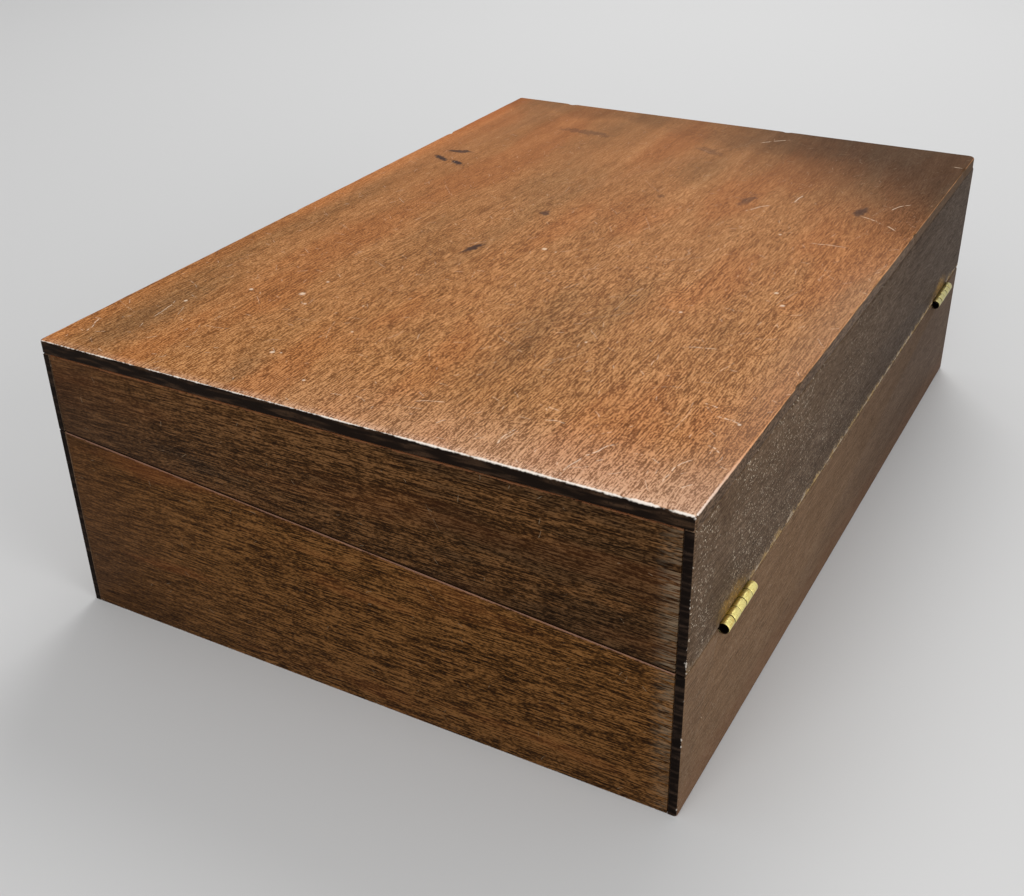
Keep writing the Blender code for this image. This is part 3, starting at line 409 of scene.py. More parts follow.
topFinish = {
    "wood": {"Dark": rgb(112, 68, 30), "Mid": rgb(158, 103, 55), "Light": rgb(200, 143, 90),
             "Broad": 0.6, "Cloud": 0.25, "Fleck": 0.0, "Pore": 0.25},
    "endGrain": {"Dark": rgb(24, 16, 11), "Light": rgb(64, 47, 34)},
    "sideDark": rgb(58, 42, 29), "sideLight": rgb(106, 82, 60),
    "redTint": (0.97, 0.86, 0.75, 1), "oliveTint": (0.80, 0.83, 0.82, 1),
    "patchTint": (0.70, 0.72, 0.74, 1), "orangeTint": (1.20, 1.05, 0.90, 1),
    "paintedFarShadeTint": (0.24, 0.30, 0.46, 1), "ink": rgb(58, 34, 24), "grey": rgb(146, 112, 88),
    # the worn colours paint a highlight on the rubbed arris as well as its wear, and the pale
    # and glow colours paint a sheen
    "worn": rgb(255, 244, 232), "wornSideHighlight": rgb(228, 166, 120), "pale": rgb(214, 176, 148),
    "glow": rgb(228, 188, 160), "scratch": rgb(232, 208, 182),
    "roughness": 0.42, "roughSwing": 0.16, "specular": 0.03, "relief": 0.35,
    "reliefDepth": 0.00010,
    # middle x, y, heading, half length, half width, strength
    "stains": [
        (-0.0622, -0.1039, 0.96, 0.0064, 0.0023, 1.0),
        (-0.0757, -0.1014, 1.79, 0.0078, 0.0027, 0.9),
        (-0.0594, -0.0936, 1.07, 0.0056, 0.0021, 1.0),
        (0.0322, -0.0307, 2.84, 0.0078, 0.0023, 0.95),
        (-0.0698, 0.0478, 3.01, 0.0088, 0.0028, 0.6),
        (-0.0769, 0.0951, 3.09, 0.0075, 0.0030, 0.8),
        (-0.1283, 0.0071, 1.20, 0.0100, 0.0040, 0.35),
        (-0.1309, -0.0606, 1.53, 0.0170, 0.0046, 0.45),
        (-0.0161, -0.0237, 0.20, 0.0036, 0.0028, 0.8),
        (-0.0580, 0.0120, 0.20, 0.0030, 0.0018, 0.4),
        (0.0440, -0.0440, 0.30, 0.0022, 0.0016, 0.3)],
    # broad darker patches, the same way
    "patches": [
        (0.1440, -0.1010, 0.02, 0.0460, 0.0100, 0.8),
        (0.1600, -0.0440, 0.10, 0.0140, 0.0060, 0.7),
        (0.1000, 0.0300, 0.00, 0.0500, 0.0070, 0.45),
        (0.0500, -0.0300, 3.10, 0.0400, 0.0050, 0.45),
        (-0.1500, 0.0300, 1.57, 0.0600, 0.0160, 0.5)],
    # pale flecks: middle x, y and half width
    "flecks": [
        (-0.0364, 0.0734, 0.0007), (0.0534, 0.0672, 0.0007), (0.0219, 0.0918, 0.0010),
        (0.0317, 0.0974, 0.0010), (0.1221, 0.1144, 0.0008), (0.1460, -0.0430, 0.0010),
        (0.1450, -0.0400, 0.0006), (0.1012, -0.0639, 0.0014), (0.0875, -0.0622, 0.0007),
        (0.1081, -0.0576, 0.0007), (0.1256, -0.0987, 0.0008), (0.1062, -0.0838, 0.0009),
        (0.1002, -0.0373, 0.0006), (0.1580, -0.0207, 0.0006), (0.1202, -0.0282, 0.0006),
        (0.0209, -0.0044, 0.0012), (0.0219, 0.0010, 0.0005), (0.0910, 0.0481, 0.0006)],
    # middle x, y, heading, length, bow, width
    "scratches": [
        (0.1549, 0.0836, 2.72, 0.0140, 0.0006, 0.00030),
        (0.1665, 0.0799, 2.97, 0.0120, 0.0004, 0.00028),
        (0.1548, 0.1069, 2.97, 0.0165, 0.0016, 0.00026),
        (0.1602, 0.0551, 3.04, 0.0110, 0.0006, 0.00030),
        (0.1590, 0.0565, 2.95, 0.0070, 0.0003, 0.00020),
        (0.1517, 0.0235, 1.97, 0.0100, 0.0006, 0.00026),
        (0.1381, 0.0586, 1.46, 0.0080, 0.0003, 0.00022),
        (0.1450, 0.0643, 1.66, 0.0072, 0.0006, 0.00024),
        (0.1143, 0.1028, 1.34, 0.0060, 0.0003, 0.00026),
        (0.1389, 0.1131, 1.00, 0.0055, 0.0002, 0.00030),
        (0.1611, 0.0329, 2.74, 0.0036, 0.0002, 0.00026),
        (0.1617, 0.1134, 2.48, 0.0045, 0.0004, 0.00026),
        (0.1205, 0.1106, 1.45, 0.0085, 0.0004, 0.00026),
        (0.0778, 0.0833, 1.93, 0.0145, 0.0006, 0.00024),
        (-0.0671, 0.1056, 1.00, 0.0222, 0.0008, 0.00034),
        (-0.0338, 0.0943, 1.68, 0.0150, 0.0006, 0.00030),
        (-0.0620, 0.0543, 2.63, 0.0140, 0.0006, 0.00034),
        (-0.0808, 0.0663, 3.05, 0.0105, 0.0005, 0.00034),
        (-0.1574, 0.0299, 2.31, 0.0170, 0.0008, 0.00040),
        (-0.1546, 0.1172, 1.61, 0.0067, 0.0003, 0.00036),
        (-0.0900, 0.1080, 2.60, 0.0120, 0.0008, 0.00034),
        (0.1344, -0.1004, 0.19, 0.0160, 0.0008, 0.00026),
        (0.1569, -0.1138, 0.40, 0.0110, 0.0005, 0.00030)],
    "hairs": [(24, 0.0110, 0.00014, 0.50, 0.65), (52, 0.0045, 0.00015, 0.50, 0.75),
              (110, 0.0020, 0.00018, 0.50, 0.80)]}


def buildTopMaterial():
    finish = topFinish
    material, shader, vector, normal = newMaterial("polishedTop")
    x, y, z = xyz(vector)
    # the figure shows most at the near end, and less towards the lock side
    streak = times(remap(x, -0.20, 0.19, 0.25, 2.0), remap(y, -0.13, 0.05, 0.6, 1.0))
    wood = useGroup("wood", vector, {**finish["wood"], "Streak": streak})
    # the colour drifts between orange, red and olive brown
    drift = streaks(vector, (8, 30, 30), 3, move=(1, 6, 0))
    colour = tinted(remap(drift, 0.52, 0.70), wood["Color"], finish["oliveTint"])
    colour = tinted(remap(drift, 0.50, 0.38), colour, finish["redTint"])
    # painted shade darkens the top towards the far end and its corners, where the finish is
    # also duller
    cloud = streaks(vector, (26, 34, 34), 3)
    patchy = times(remap(cloud, 0.46, 0.66), remap(x, -0.06, -0.175), 0.3)
    corner = remap(plus(x, times(y, -0.9)), -0.11, -0.235)
    band = remap(plus(x, times(cloud, 0.03)), -0.134, -0.150, 0.0, 0.38)
    paintedFarShade = most(patchy, corner, band)
    colour = tinted(paintedFarShade, colour, finish["paintedFarShadeTint"])
    ragged = raggedness(vector)

    def spots(rows, before=0.0):
        for atX, atY, heading, longHalf, shortHalf, strength in rows:
            before = useGroup("stain", vector, {
                "Middle": (atX, atY, box["height"]), "Heading": heading,
                "Size": (longHalf, shortHalf, 1), "Ragged": ragged, "Strength": strength,
                "Before": before})["Mask"]
        return before

    colour = tinted(spots(finish["patches"]), colour, finish["patchTint"])
    colour = mixColour(spots(finish["stains"]), colour, finish["ink"])
    # greyer along the hinge side, more orange along the lock side
    margin = times(remap(y, 0.100, 0.122), remap(x, -0.06, 0.02), 0.35)
    colour = mixColour(margin, colour, finish["grey"])
    colour = tinted(remap(y, -0.110, -0.119), colour, finish["orangeTint"])
    # a painted sheen lightens the finish along the near end, most at its hinge corner, and a
    # narrower painted sheen lies beside the arris
    rubbed = times(remap(x, 0.135, 0.180), remap(y, -0.08, 0.13),
                   plus(0.15, times(wood["Figure"], 0.5)))
    colour = mixColour(rubbed, colour, finish["pale"])
    glow = times(remap(x, 0.1705, 0.1752), remap(y, -0.16, 0.11, 0.3, 1.0),
                 plus(0.05, times(wood["Figure"], 0.7)))
    colour = mixColour(glow, colour, finish["glow"])
    # hair scratches, fewer at the far end, then the flecks and the long scratches
    lines = times(hairFields(vector, finish["hairs"]), remap(x, -0.22, 0.06, 0.25, 1.0))
    lines = spots([(atX, atY, 0, half, half, 1) for atX, atY, half in finish["flecks"]], lines)
    wobble = swing(grainNoise(vector, 160), 0.0022)
    gaps = remap(grainNoise(vector, 600, 1), 0.34, 0.50)
    for atX, atY, heading, length, bow, width in finish["scratches"]:
        lines = useGroup("scratch", vector, {
            "Middle": (atX, atY, box["height"]), "Heading": heading, "Length": length,
            "Bow": bow, "Width": width, "Wobble": wobble, "Gaps": gaps,
            "Before": lines})["Mask"]
    onTop = remap(xyz(normal)[2], 0.55, 0.9)
    colour = mixColour(times(lines, onTop, 0.75), colour, finish["scratch"])
    # end grain on the short ends, and on the long edges wood greyed by a painted reflection
    longSide = mixColour(wood["Figure"], finish["sideDark"], finish["sideLight"])
    colour = mixColour(facing(normal, 1), colour, longSide)
    grainEnd = useGroup("endGrain", vector, finish["endGrain"])["Color"]
    colour = mixColour(facing(normal, 0), colour, grainEnd)
    # the arris is rubbed and painted with a highlight, palest at the near hinge corner and
    # faint along the sides
    edges = useGroup("edges", vector)
    towards = times(remap(y, -0.03, 0.125), remap(x, 0.10, 0.172))
    onSide = remap(x, 0.1745, 0.1725)
    worn = wear(vector, edges["Arris"], plus(0.00040, times(towards, 0.00036)), 1.0,
                minus(0.75, times(onSide, 0.35)))
    wornHighlightColour = mixColour(times(onSide, remap(x, 0.178, 0.13, 0.3, 1.0)),
                             finish["worn"], finish["wornSideHighlight"])
    strength = minus(0.90, times(onSide, remap(x, 0.1, -0.17, 0.05, 0.4)))
    worn = times(worn, strength, remap(edges["Top"], 0.0016, 0.0007))
    colour = mixColour(worn, colour, wornHighlightColour)
    finishWood(shader, finish, wood, plainInside(edges, wood, colour), times(paintedFarShade, 0.18))
    return material


sideFinish = {
    "shadeTint": (0.60, 0.62, 0.68, 1), "foot": rgb(128, 82, 56), "speck": rgb(226, 212, 190),
    "seamGold": rgb(196, 162, 108), "seamPale": rgb(206, 186, 162),
    "endGrain": {"Dark": rgb(18, 12, 9), "Light": rgb(56, 43, 34)},
    "chip": rgb(206, 196, 184), "halo": rgb(160, 124, 66), "haloShift": 0.003,
    "haloHeight": 0.0600, "haloSize": (0.0125, 1, 0.0048), "roughness": 0.6,
    "roughSwing": 0.2, "specular": 0.03, "relief": 0.4, "reliefDepth": 0.00010,
    "speckScale": 1800.0, "speckStretch": (1.25, 1, 1),
    # width, bias and raggedness of the chips in the arrises
    "chips": (0.0005, -0.25, 2.6), "chipStrength": 0.8,
    # the side boards' browns are greyed by a painted reflection of grey surroundings
    "lid": {"wood": {"Dark": rgb(64, 48, 36), "Mid": rgb(92, 73, 56),
                     "Light": rgb(124, 102, 82), "Streak": 0.7, "Broad": 0.5, "Cloud": 0.3,
                     "Fleck": 0.1, "Pore": 0.5},
            "shadeFrom": 0.15, "paintedGlints": 0.75, "flecks": 0.10, "seamWidth": 0.0024,
            "seamStrength": 0.95},
    "base": {"wood": {"Dark": rgb(84, 62, 46), "Mid": rgb(112, 88, 67),
                      "Light": rgb(136, 110, 87), "Streak": 0.45, "Broad": 0.5,
                      "Cloud": 0.3, "Fleck": 0.1, "Pore": 0.5},
             "shadeFrom": 0.10, "paintedGlints": 0.10, "flecks": 0.05, "seamWidth": 0.0006,
             "seamStrength": 0.2}}


def buildSideMaterial(body):
    finish, own = sideFinish, sideFinish[body]
    material, shader, vector, normal = newMaterial(body + "SideBoard")
    x, y, z = xyz(vector)
    wood = useGroup("wood", vector, own["wood"])
    edges = useGroup("edges", vector)
    # painted shade: darker and bluer towards the far end
    colour = tinted(remap(x, own["shadeFrom"], -0.12), wood["Color"], finish["shadeTint"])
    if body == "base":
        # redder towards the foot
        spread = streaks(vector, (18, 18, 60), 3)
        low = remap(plus(edges["Foot"], times(spread, 0.012)), 0.022, 0.007)
        colour = mixColour(times(low, 0.18), colour, finish["foot"])
    # painted glints on the crazed polish, most of them near the near hinge and hardly any on
    # the lock side
    crowd = times(remap(x, -0.08, 0.17, 0.12, 1.0), remap(y, -0.02, 0.02, 0.2, 1.0))
    paintedGlints = useGroup("paintedGlints", place(vector, finish["speckStretch"]), {
        "Scale": finish["speckScale"], "Amount": own["paintedGlints"]})["Mask"]
    colour = mixColour(times(paintedGlints, crowd), colour, finish["speck"])
    upright = place(vector, turn=(quarterTurn, 0, 0))
    flecks = hairFields(upright, [(70.0, 0.0010, 0.00015, own["flecks"], 0.7)])
    colour = mixColour(times(flecks, crowd), colour, finish["seamPale"])
    grainEnd = useGroup("endGrain", vector, finish["endGrain"])["Color"]
    colour = mixColour(facing(normal, 0), colour, grainEnd)
    if body == "lid":
        # a golden tint round each hinge
        halo, ragged = 0.0, raggedness(vector)
        for side in (1, -1):
            middle = (side * hinge["x"] + finish["haloShift"], box["halfWidth"],
                      finish["haloHeight"])
            halo = useGroup("stain", vector, {"Middle": middle, "Size": finish["haloSize"],
                                              "Ragged": ragged, "Before": halo})["Mask"]
        fineSpeckle = remap(grainNoise(vector, 1300), 0.42, 0.60, 0.2, 0.9)
        colour = mixColour(times(halo, fineSpeckle), colour, finish["halo"])
    # the arris along the seam is rubbed to bare wood from the near hinge on
    rubbed = wear(vector, edges["Seam"], own["seamWidth"], 1.2, 1.6)
    beyond = times(remap(x, 0.130, 0.118, 0.2, 1.0), remap(x, -0.175, -0.10, 0.45, 1.0),
                   facing(normal, 1), remap(y, -0.02, 0.02, 0.15, 1.0),
                   remap(grainNoise(vector, 1700, 1), 0.36, 0.58, 0.25, 1.0))
    gold = mixColour(remap(grainNoise(vector, 240), 0.42, 0.6), finish["seamGold"],
                     finish["seamPale"])
    colour = mixColour(times(rubbed, beyond, own["seamStrength"]), colour, gold)
    # painted shade on the rims at the seam
    colour = mixColour(rimShade(normal, edges["Seam"]), colour, finish["endGrain"]["Dark"])
    chips = wear(vector, edges["Arris"], *finish["chips"])
    colour = mixColour(times(chips, finish["chipStrength"]), colour, finish["chip"])
    finishWood(shader, finish, wood, plainInside(edges, wood, colour))
    return material


endFinish = {
    "figure": {"Broad": 0.75, "Cloud": 0.45, "Fleck": 0.0, "Pore": 0.3, "Grit": 1.2},
    "lockTint": (0.84, 0.80, 0.76, 1), "darkPatchTint": (0.62, 0.66, 0.74, 1),
    "dark": rgb(36, 20, 7), "worn": rgb(150, 112, 94), "brim": rgb(132, 86, 56),
    "scuff": rgb(140, 122, 100), "chip": rgb(190, 176, 158), "orange": rgb(126, 70, 34),
    "roughness": 0.5, "roughSwing": 0.2, "specular": 0.04, "relief": 0.5,
    "reliefDepth": 0.00012,
    "hairs": [(30, 0.0060, 0.00013, 0.25, 0.4), (110, 0.0013, 0.00016, 0.28, 0.6)],
    # width, bias and raggedness
    "chips": (0.0005, -0.1, 2.4), "brimWear": (0.0005, 0.6, 1.4),
    "seamHighlight": (0.0009, 0.9, 0.5), "chipStrength": 0.6, "brimStrength": 0.6,
    "seamStrength": 0.7,
    # painted shade: the end boards' browns are the top's mahogany made darker
    "lid": {"Mid": rgb(72, 46, 21), "Light": rgb(116, 80, 47), "glow": 0.12, "scuffs": 0.85},
    "base": {"Mid": rgb(79, 50, 21), "Light": rgb(124, 84, 45), "glow": 0.3, "scuffs": 0.4}}


def buildEndMaterial(body):
    finish, own = endFinish, endFinish[body]
    material, shader, vector, normal = newMaterial(body + "EndBoard")
    x, y, z = xyz(vector)
    grain = place(vector, (1, 0.7, 1), (0, 0, quarterTurn))
    wood = useGroup("wood", grain, {
        **finish["figure"], "Dark": finish["dark"], "Mid": own["Mid"], "Light": own["Light"],
        "Streak": remap(y, -0.15, 0.0, 0.6, 1.6)})
    edges = useGroup("edges", vector)
    colour = tinted(remap(y, -0.05, -0.118), wood["Color"], finish["lockTint"])
    if body == "lid":
        # darker, bluish patches, most of them towards the hinge side
        darkerPatches = plus(streaks(grain, (30, 110, 110), 3, move=(3, 0, 2)),
                     remap(y, 0.0, 0.10, -0.12, 0.12))
        colour = tinted(remap(darkerPatches, 0.44, 0.60), colour, finish["darkPatchTint"])
    glow = remap(streaks(grain, (12, 60, 60), 3), 0.54, 0.70)
    colour = mixColour(times(glow, own["glow"]), colour, finish["orange"])
    # comb-like scuffs beside the hinge side's lip, most of them on the lid
    comb = remap(streaks(vector, (1, 150, 2100)), 0.42, 0.58)
    patch = remap(streaks(vector, (1, 20, 45)), 0.30, 0.62, 0.35, 1.0)
    scuffs = times(remap(y, 0.1100, 0.1172), comb, patch, own["scuffs"])
    hairs = hairFields(place(vector, turn=(0, quarterTurn, 0)), finish["hairs"])
    colour = mixColour(most(hairs, scuffs), colour, finish["scuff"])
    # painted shade on the rims at the seam, and on the lid a painted shade line along its
    # lower edge beside the gap
    shade = rimShade(normal, edges["Seam"])
    if body == "lid":
        below = minus(edges["Top"], box["topBoard"] + 0.0003)
        brim = times(wear(vector, below, *finish["brimWear"]), finish["brimStrength"])
        colour = mixColour(brim, colour, finish["brim"])
        shade = most(shade, times(remap(edges["Seam"], 0.0009, 0.0006), 0.8))
    else:
        # a pale line along the base's arris at the seam: a painted highlight
        rubbed = wear(vector, edges["Seam"], *finish["seamHighlight"])
        colour = mixColour(times(rubbed, finish["seamStrength"]), colour, finish["worn"])
    colour = mixColour(shade, colour, finish["dark"])
    chips = wear(vector, edges["Arris"], *finish["chips"])
    colour = mixColour(times(chips, finish["chipStrength"]), colour, finish["chip"])
    finishWood(shader, finish, wood, plainInside(edges, wood, colour))
    return material


def buildInsideMaterial(name, turn=(0, 0, 0), inky=0.0):
    finish = insideFinish
    material, shader, vector, normal = newMaterial(name)
    vector = place(vector, turn=turn)
    wood = useGroup("wood", vector, finish["wood"])
    colour = wood["Color"]
    if inky:
        blots = remap(grainNoise(vector, 55, 3), 0.60, 0.68)
        colour = mixColour(times(blots, inky), colour, finish["ink"])
    finishWood(shader, finish, wood, colour)
    return material


brassFinish = {"bright": rgb(255, 240, 156), "dull": rgb(226, 196, 108),
               "dark": rgb(30, 18, 12), "sandTint": (0.72, 0.62, 0.42, 1),
               "farTint": (0.62, 0.64, 0.74, 1), "roughness": 0.38, "relief": 0.4,
               "reliefDepth": 0.00006}


def buildBrassMaterial(name, age, rolled=False):
    finish = brassFinish
    material, shader, vector, normal = newMaterial(name)
    patch = grainNoise(vector, 420, 3)
    fine = streaks(vector, (300, 2600, 2600))
    sand = grainNoise(vector, 2600, 1)
    tarnish = remap(plus(patch, (age - 0.5) * 0.5), 0.38, 0.68)
    colour = mixColour(tarnish, finish["bright"], finish["dull"])
    colour = tinted(remap(sand, 0.50, 0.70, 0.0, 0.7), colour, finish["sandTint"])
    spots = times(remap(grainNoise(vector, 1500), 0.64, 0.74), age)
    if rolled:
        # the far hinge is duller, and painted shade darkens the knuckles in the bore and on
        # their ends that face the near end
        colour = tinted(remap(xyz(vector)[0], 0.02, -0.02), colour, finish["farTint"])
        out = vectorCalc("SUBTRACT", vector, (0, hinge["y"], hinge["z"]))
        out = lengthOf(vectorCalc("MULTIPLY", out, (0, 1, 1)))
        bore = remap(out, hinge["bore"] + 0.00026, hinge["bore"] + 0.00014)
        spots = most(spots, bore, remap(xyz(normal)[0], 0.5, 0.8))
    rough = plus(finish["roughness"], times(tarnish, 0.18), times(spots, 0.3), clamp=True)
    fill(shader, {"Base Color": mixColour(spots, colour, finish["dark"]),
                  "Roughness": rough, "Metallic": 1.0,
                  "Normal": bump(plus(fine, patch, sand), finish["relief"],
                                 finish["reliefDepth"])})
    return material


steelFinish = {"bright": rgb(96, 92, 88), "rust": rgb(58, 40, 30), "roughness": 0.4,
               "metallic": 0.9}


def buildSteelMaterial():
    finish = steelFinish
    material, shader, vector, normal = newMaterial("dullSteel")
    rust = remap(grainNoise(vector, 1200, 3), 0.45, 0.65)
    fill(shader, {"Base Color": mixColour(rust, finish["bright"], finish["rust"]),
                  "Roughness": plus(finish["roughness"], times(rust, 0.3)),
                  "Metallic": finish["metallic"]})
    return material


leatherFinish = {"dark": rgb(34, 46, 31), "light": rgb(48, 62, 40), "rubbed": rgb(88, 92, 60),
                 "tooled": rgb(16, 18, 12), "rimTint": (0.62, 0.62, 0.62, 1),
                 "pebbles": 1100.0, "lineInsets": (0.0060, 0.0076), "lineWidth": 0.0004,
                 "roughness": 0.55, "relief": 0.45, "reliefDepth": 0.00012}


def buildLeatherMaterial(name, skin):
    # the skin's own plane, with its middle at the origin, carries two tooled lines
    finish = leatherFinish
    low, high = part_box(skin)
    halfX = (high.x - low.x) / 2
    halfY = (high.y - low.y) / 2 / math.cos(slope)
    material, shader, vector, normal = newMaterial(name)
    vector = place(vector, move=tuple(-(low + high) / 2))
    vector = place(vector, turn=(slope, 0, 0))
    x, y, z = xyz(vector)
    cells = add("TexVoronoi", {"Vector": vector, "Scale": finish["pebbles"]},
                feature="DISTANCE_TO_EDGE")["Distance"]
    pebble = remap(cells, 0.0, 0.35)
    inside = least(minus(halfX, unsigned(x)), minus(halfY, unsigned(y)))
    colour = mixColour(remap(grainNoise(vector, 24, 3), 0.35, 0.7), finish["dark"],
                       finish["light"])
    # writing has faded the middle, and each pebble of the grain is darker round its rim
    faded = times(remap(inside, 0.008, 0.055),
                  remap(grainNoise(vector, 180, 4, 0.65), 0.46, 0.66, 0.15, 0.5))
    colour = mixColour(faded, colour, finish["rubbed"])
    colour = tinted(remap(pebble, 0.8, 0.0), colour, finish["rimTint"])
    tooled = most(*[remap(unsigned(minus(inside, inset)), finish["lineWidth"],
                          finish["lineWidth"] * 0.4) for inset in finish["lineInsets"]])
    fill(shader, {"Base Color": mixColour(times(tooled, 0.6), colour, finish["tooled"]),
                  "Roughness": minus(finish["roughness"], times(faded, 0.15)),
                  "Normal": bump(minus(pebble, tooled), finish["relief"],
                                 finish["reliefDepth"])})
    return material


glassFinish = {"colour": rgb(214, 232, 224), "roughness": 0.04, "bend": 1.5,
               "relief": 0.15, "reliefDepth": 0.0004}


def buildGlassMaterial():
    finish = glassFinish
    material, shader, vector, normal = newMaterial("pressedGlass")
    ripple = grainNoise(vector, 90)
    fill(shader, {"Base Color": finish["colour"], "Roughness": finish["roughness"],
                  "IOR": finish["bend"], "Transmission Weight": 1.0,
                  "Normal": bump(ripple, finish["relief"], finish["reliefDepth"])})
    return material


materials = {
    "top": buildTopMaterial(),
    "lidSide": buildSideMaterial("lid"),
    "baseSide": buildSideMaterial("base"),
    "lidEnd": buildEndMaterial("lid"),
    "baseEnd": buildEndMaterial("base"),
    "inside": buildInsideMaterial("insideBoard"),
    "insideAcross": buildInsideMaterial("insideBoardAcross", turn=(0, 0, quarterTurn)),
    "inkyTray": buildInsideMaterial("inkyTray", inky=0.8),
    "hingeBrass": buildBrassMaterial("hingeBrass", 0.25, rolled=True),
    "brass": buildBrassMaterial("workedBrass", 0.45),
    "oldBrass": buildBrassMaterial("oldBrass", 0.8),
    "steel": buildSteelMaterial(),
    "baseSkin": buildLeatherMaterial("baseSkinLeather", "base_writing_skin"),
    "lidSkin": buildLeatherMaterial("lidSkinLeather", "lid_writing_skin"),
    "glass": buildGlassMaterial(),
}
print("materials built")

# angles in degrees, and lengths in metres
meshing = {"merge": 0.000002, "flatAngle": 0.5, "smoothAngle": 35, "sharpAngle": 40,
           "shortest": 0.004, "level": 0.00001}


def copyOf(node):
    shape = bmesh.new()
    shape.from_mesh(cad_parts[node].data)
    bmesh.ops.remove_doubles(shape, verts=shape.verts, dist=meshing["merge"])
    bmesh.ops.dissolve_limit(shape, angle_limit=math.radians(meshing["flatAngle"]),
                             verts=shape.verts, edges=shape.edges)
    return shape


def newObject(name, data):
    thing = bpy.data.objects.new(name, data)
    bpy.context.scene.collection.objects.link(thing)
    return thing


def newMesh(name, shape):
    mesh = bpy.data.meshes.new(name)
    shape.to_mesh(mesh)
    shape.free()
    return mesh


def addPiece(name, shape, material, body, replaced):
    bmesh.ops.recalc_face_normals(shape, faces=shape.faces)
    mesh = newMesh(name, shape)
    piece = newObject(name, mesh)
    mesh.materials.append(material)
    mesh.shade_smooth()
    mesh.set_sharp_from_angle(angle=math.radians(meshing["smoothAngle"]))
    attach(piece, body)
    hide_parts(replaced)


def soften(shape, edges, width, segments=2):
    bmesh.ops.bevel(shape, geom=edges, offset=width, segments=segments, profile=0.5,
                    affect="EDGES", material=-1, clamp_overlap=True)


def softCopy(name, node, material, body, width):
    # a copy of a solid with its sharp arrises taken off
    shape = copyOf(node)
    sharp = [e for e in shape.edges if len(e.link_faces) == 2 and e.is_convex
             and e.calc_length() > meshing["shortest"]
             and e.calc_face_angle(0) > math.radians(meshing["sharpAngle"])]
    soften(shape, sharp, width)
    addPiece(name, shape, material, body, node)


def camelName(node):
    first, *others = node.split("_")
    return first + "".join(word.capitalize() for word in others)


lidTop = {"cornerRadius": 0.0013, "cornerSegments": 4, "wornCornerRadius": 0.0034,
          "wornCornerSegments": 6, "arris": 0.0007, "arrisSegments": 4,
          "underArris": 0.0003, "cuts": 160, "ring": 0.0004, "broadFace": 0.0004,
          "longEdge": 0.1, "rubBand": 0.002, "rubbed": 0.00016, "rubBias": 0.3,
          "rubFrom": 0.00002, "rubTo": 0.98, "rubDip": 0.05, "nickTo": 1.5, "nickDip": 0.6,
          # scale and weight of the noises that the rubbing follows
          "rubNoise": [(120, 0.6), (420, 0.4)],
          # x, y, reach and depth of the nicks in the top's edge
          "nicks": [(-0.151, 0.122, 0.0040, 0.0008), (-0.060, 0.122, 0.0024, 0.0006),
                    (0.089, 0.122, 0.0022, 0.0005), (0.175, 0.101, 0.0026, 0.0006),
                    (0.175, 0.113, 0.0030, 0.0007), (0.175, 0.052, 0.0016, 0.0003),
                    (0.175, -0.074, 0.0018, 0.0004), (-0.175, 0.030, 0.0024, 0.0005),
                    (-0.175, -0.090, 0.0030, 0.0006), (0.030, -0.122, 0.0022, 0.0005),
                    (-0.100, -0.122, 0.0026, 0.0006)]}


def buildLidTop():
    low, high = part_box("lid_top")
    middle = (low + high) / 2
    shape = bmesh.new()
    bmesh.ops.create_cube(shape, size=1)
    bmesh.ops.scale(shape, vec=high - low, verts=shape.verts)
    bmesh.ops.translate(shape, vec=middle, verts=shape.verts)
    corners = [e for e in shape.edges
               if abs(e.verts[0].co.z - e.verts[1].co.z) > meshing["level"]]
    worn = [e for e in corners if e.verts[0].co.x < 0 and e.verts[0].co.y > 0]
    plain = [e for e in corners if e not in worn]
    soften(shape, worn, lidTop["wornCornerRadius"], lidTop["wornCornerSegments"])
    soften(shape, plain, lidTop["cornerRadius"], lidTop["cornerSegments"])
    upper = [e for e in shape.edges
             if all(v.co.z > high.z - meshing["level"] for v in e.verts)]
    soften(shape, upper, lidTop["arris"], lidTop["arrisSegments"])
    under = [e for e in shape.edges
             if all(v.co.z < low.z + meshing["level"] for v in e.verts)]
    soften(shape, under, lidTop["underArris"])
    # a narrow ring keeps each broad face flat beside its rounded arris
    broad = [f for f in shape.faces if f.calc_area() > lidTop["broadFace"]]
    bmesh.ops.inset_individual(shape, faces=broad, thickness=lidTop["ring"])
    # cut the long strips of the arris, so that it can be rubbed and nicked
    longEdges = [e for e in shape.edges if e.calc_length() > lidTop["longEdge"]]
    bmesh.ops.subdivide_edges(shape, edges=longEdges, cuts=lidTop["cuts"])
    for vertex in shape.verts:
        point = vertex.co
        depth = high.z - point.z
        if lidTop["rubFrom"] < depth < lidTop["arris"] * lidTop["rubTo"]:
            rub = sum(noise.noise(point * scale) * weight
                      for scale, weight in lidTop["rubNoise"]) + lidTop["rubBias"]
            onEnd = abs(point.x) > box["halfLength"] - lidTop["rubBand"]
            onSide = abs(point.y) > box["halfWidth"] - lidTop["rubBand"]
            inward = Vector((middle.x - point.x if onEnd else 0,
                             middle.y - point.y if onSide else 0, -lidTop["rubDip"]))
            vertex.co += inward.normalized() * lidTop["rubbed"] * max(0.0, rub)
        if depth < lidTop["arris"] * lidTop["nickTo"]:
            for x, y, reach, deep in lidTop["nicks"]:
                away = math.hypot(point.x - x, point.y - y) / reach
                if away < 1:
                    onEnd = abs(x) == box["halfLength"]
                    inward = Vector((-math.copysign(1, x) if onEnd else 0,
                                     0 if onEnd else -math.copysign(1, y),
                                     -lidTop["nickDip"]))
                    vertex.co += inward.normalized() * (1 - away * away) ** 2 * deep
    addPiece("lidTopBoard", shape, materials["top"], "lid", "lid_top")


boards = {"arris": 0.00028}


def buildBoards():
    for kind, words in (("side", ("lock", "hinge")), ("end", ("near", "far"))):
        for word in words:
            for body in ("lid", "base"):
                softCopy(body + word.capitalize() + "Board", body + "_" + word + "_" + kind,
                         materials[body + kind.capitalize()], body,
                         boards["arris"])


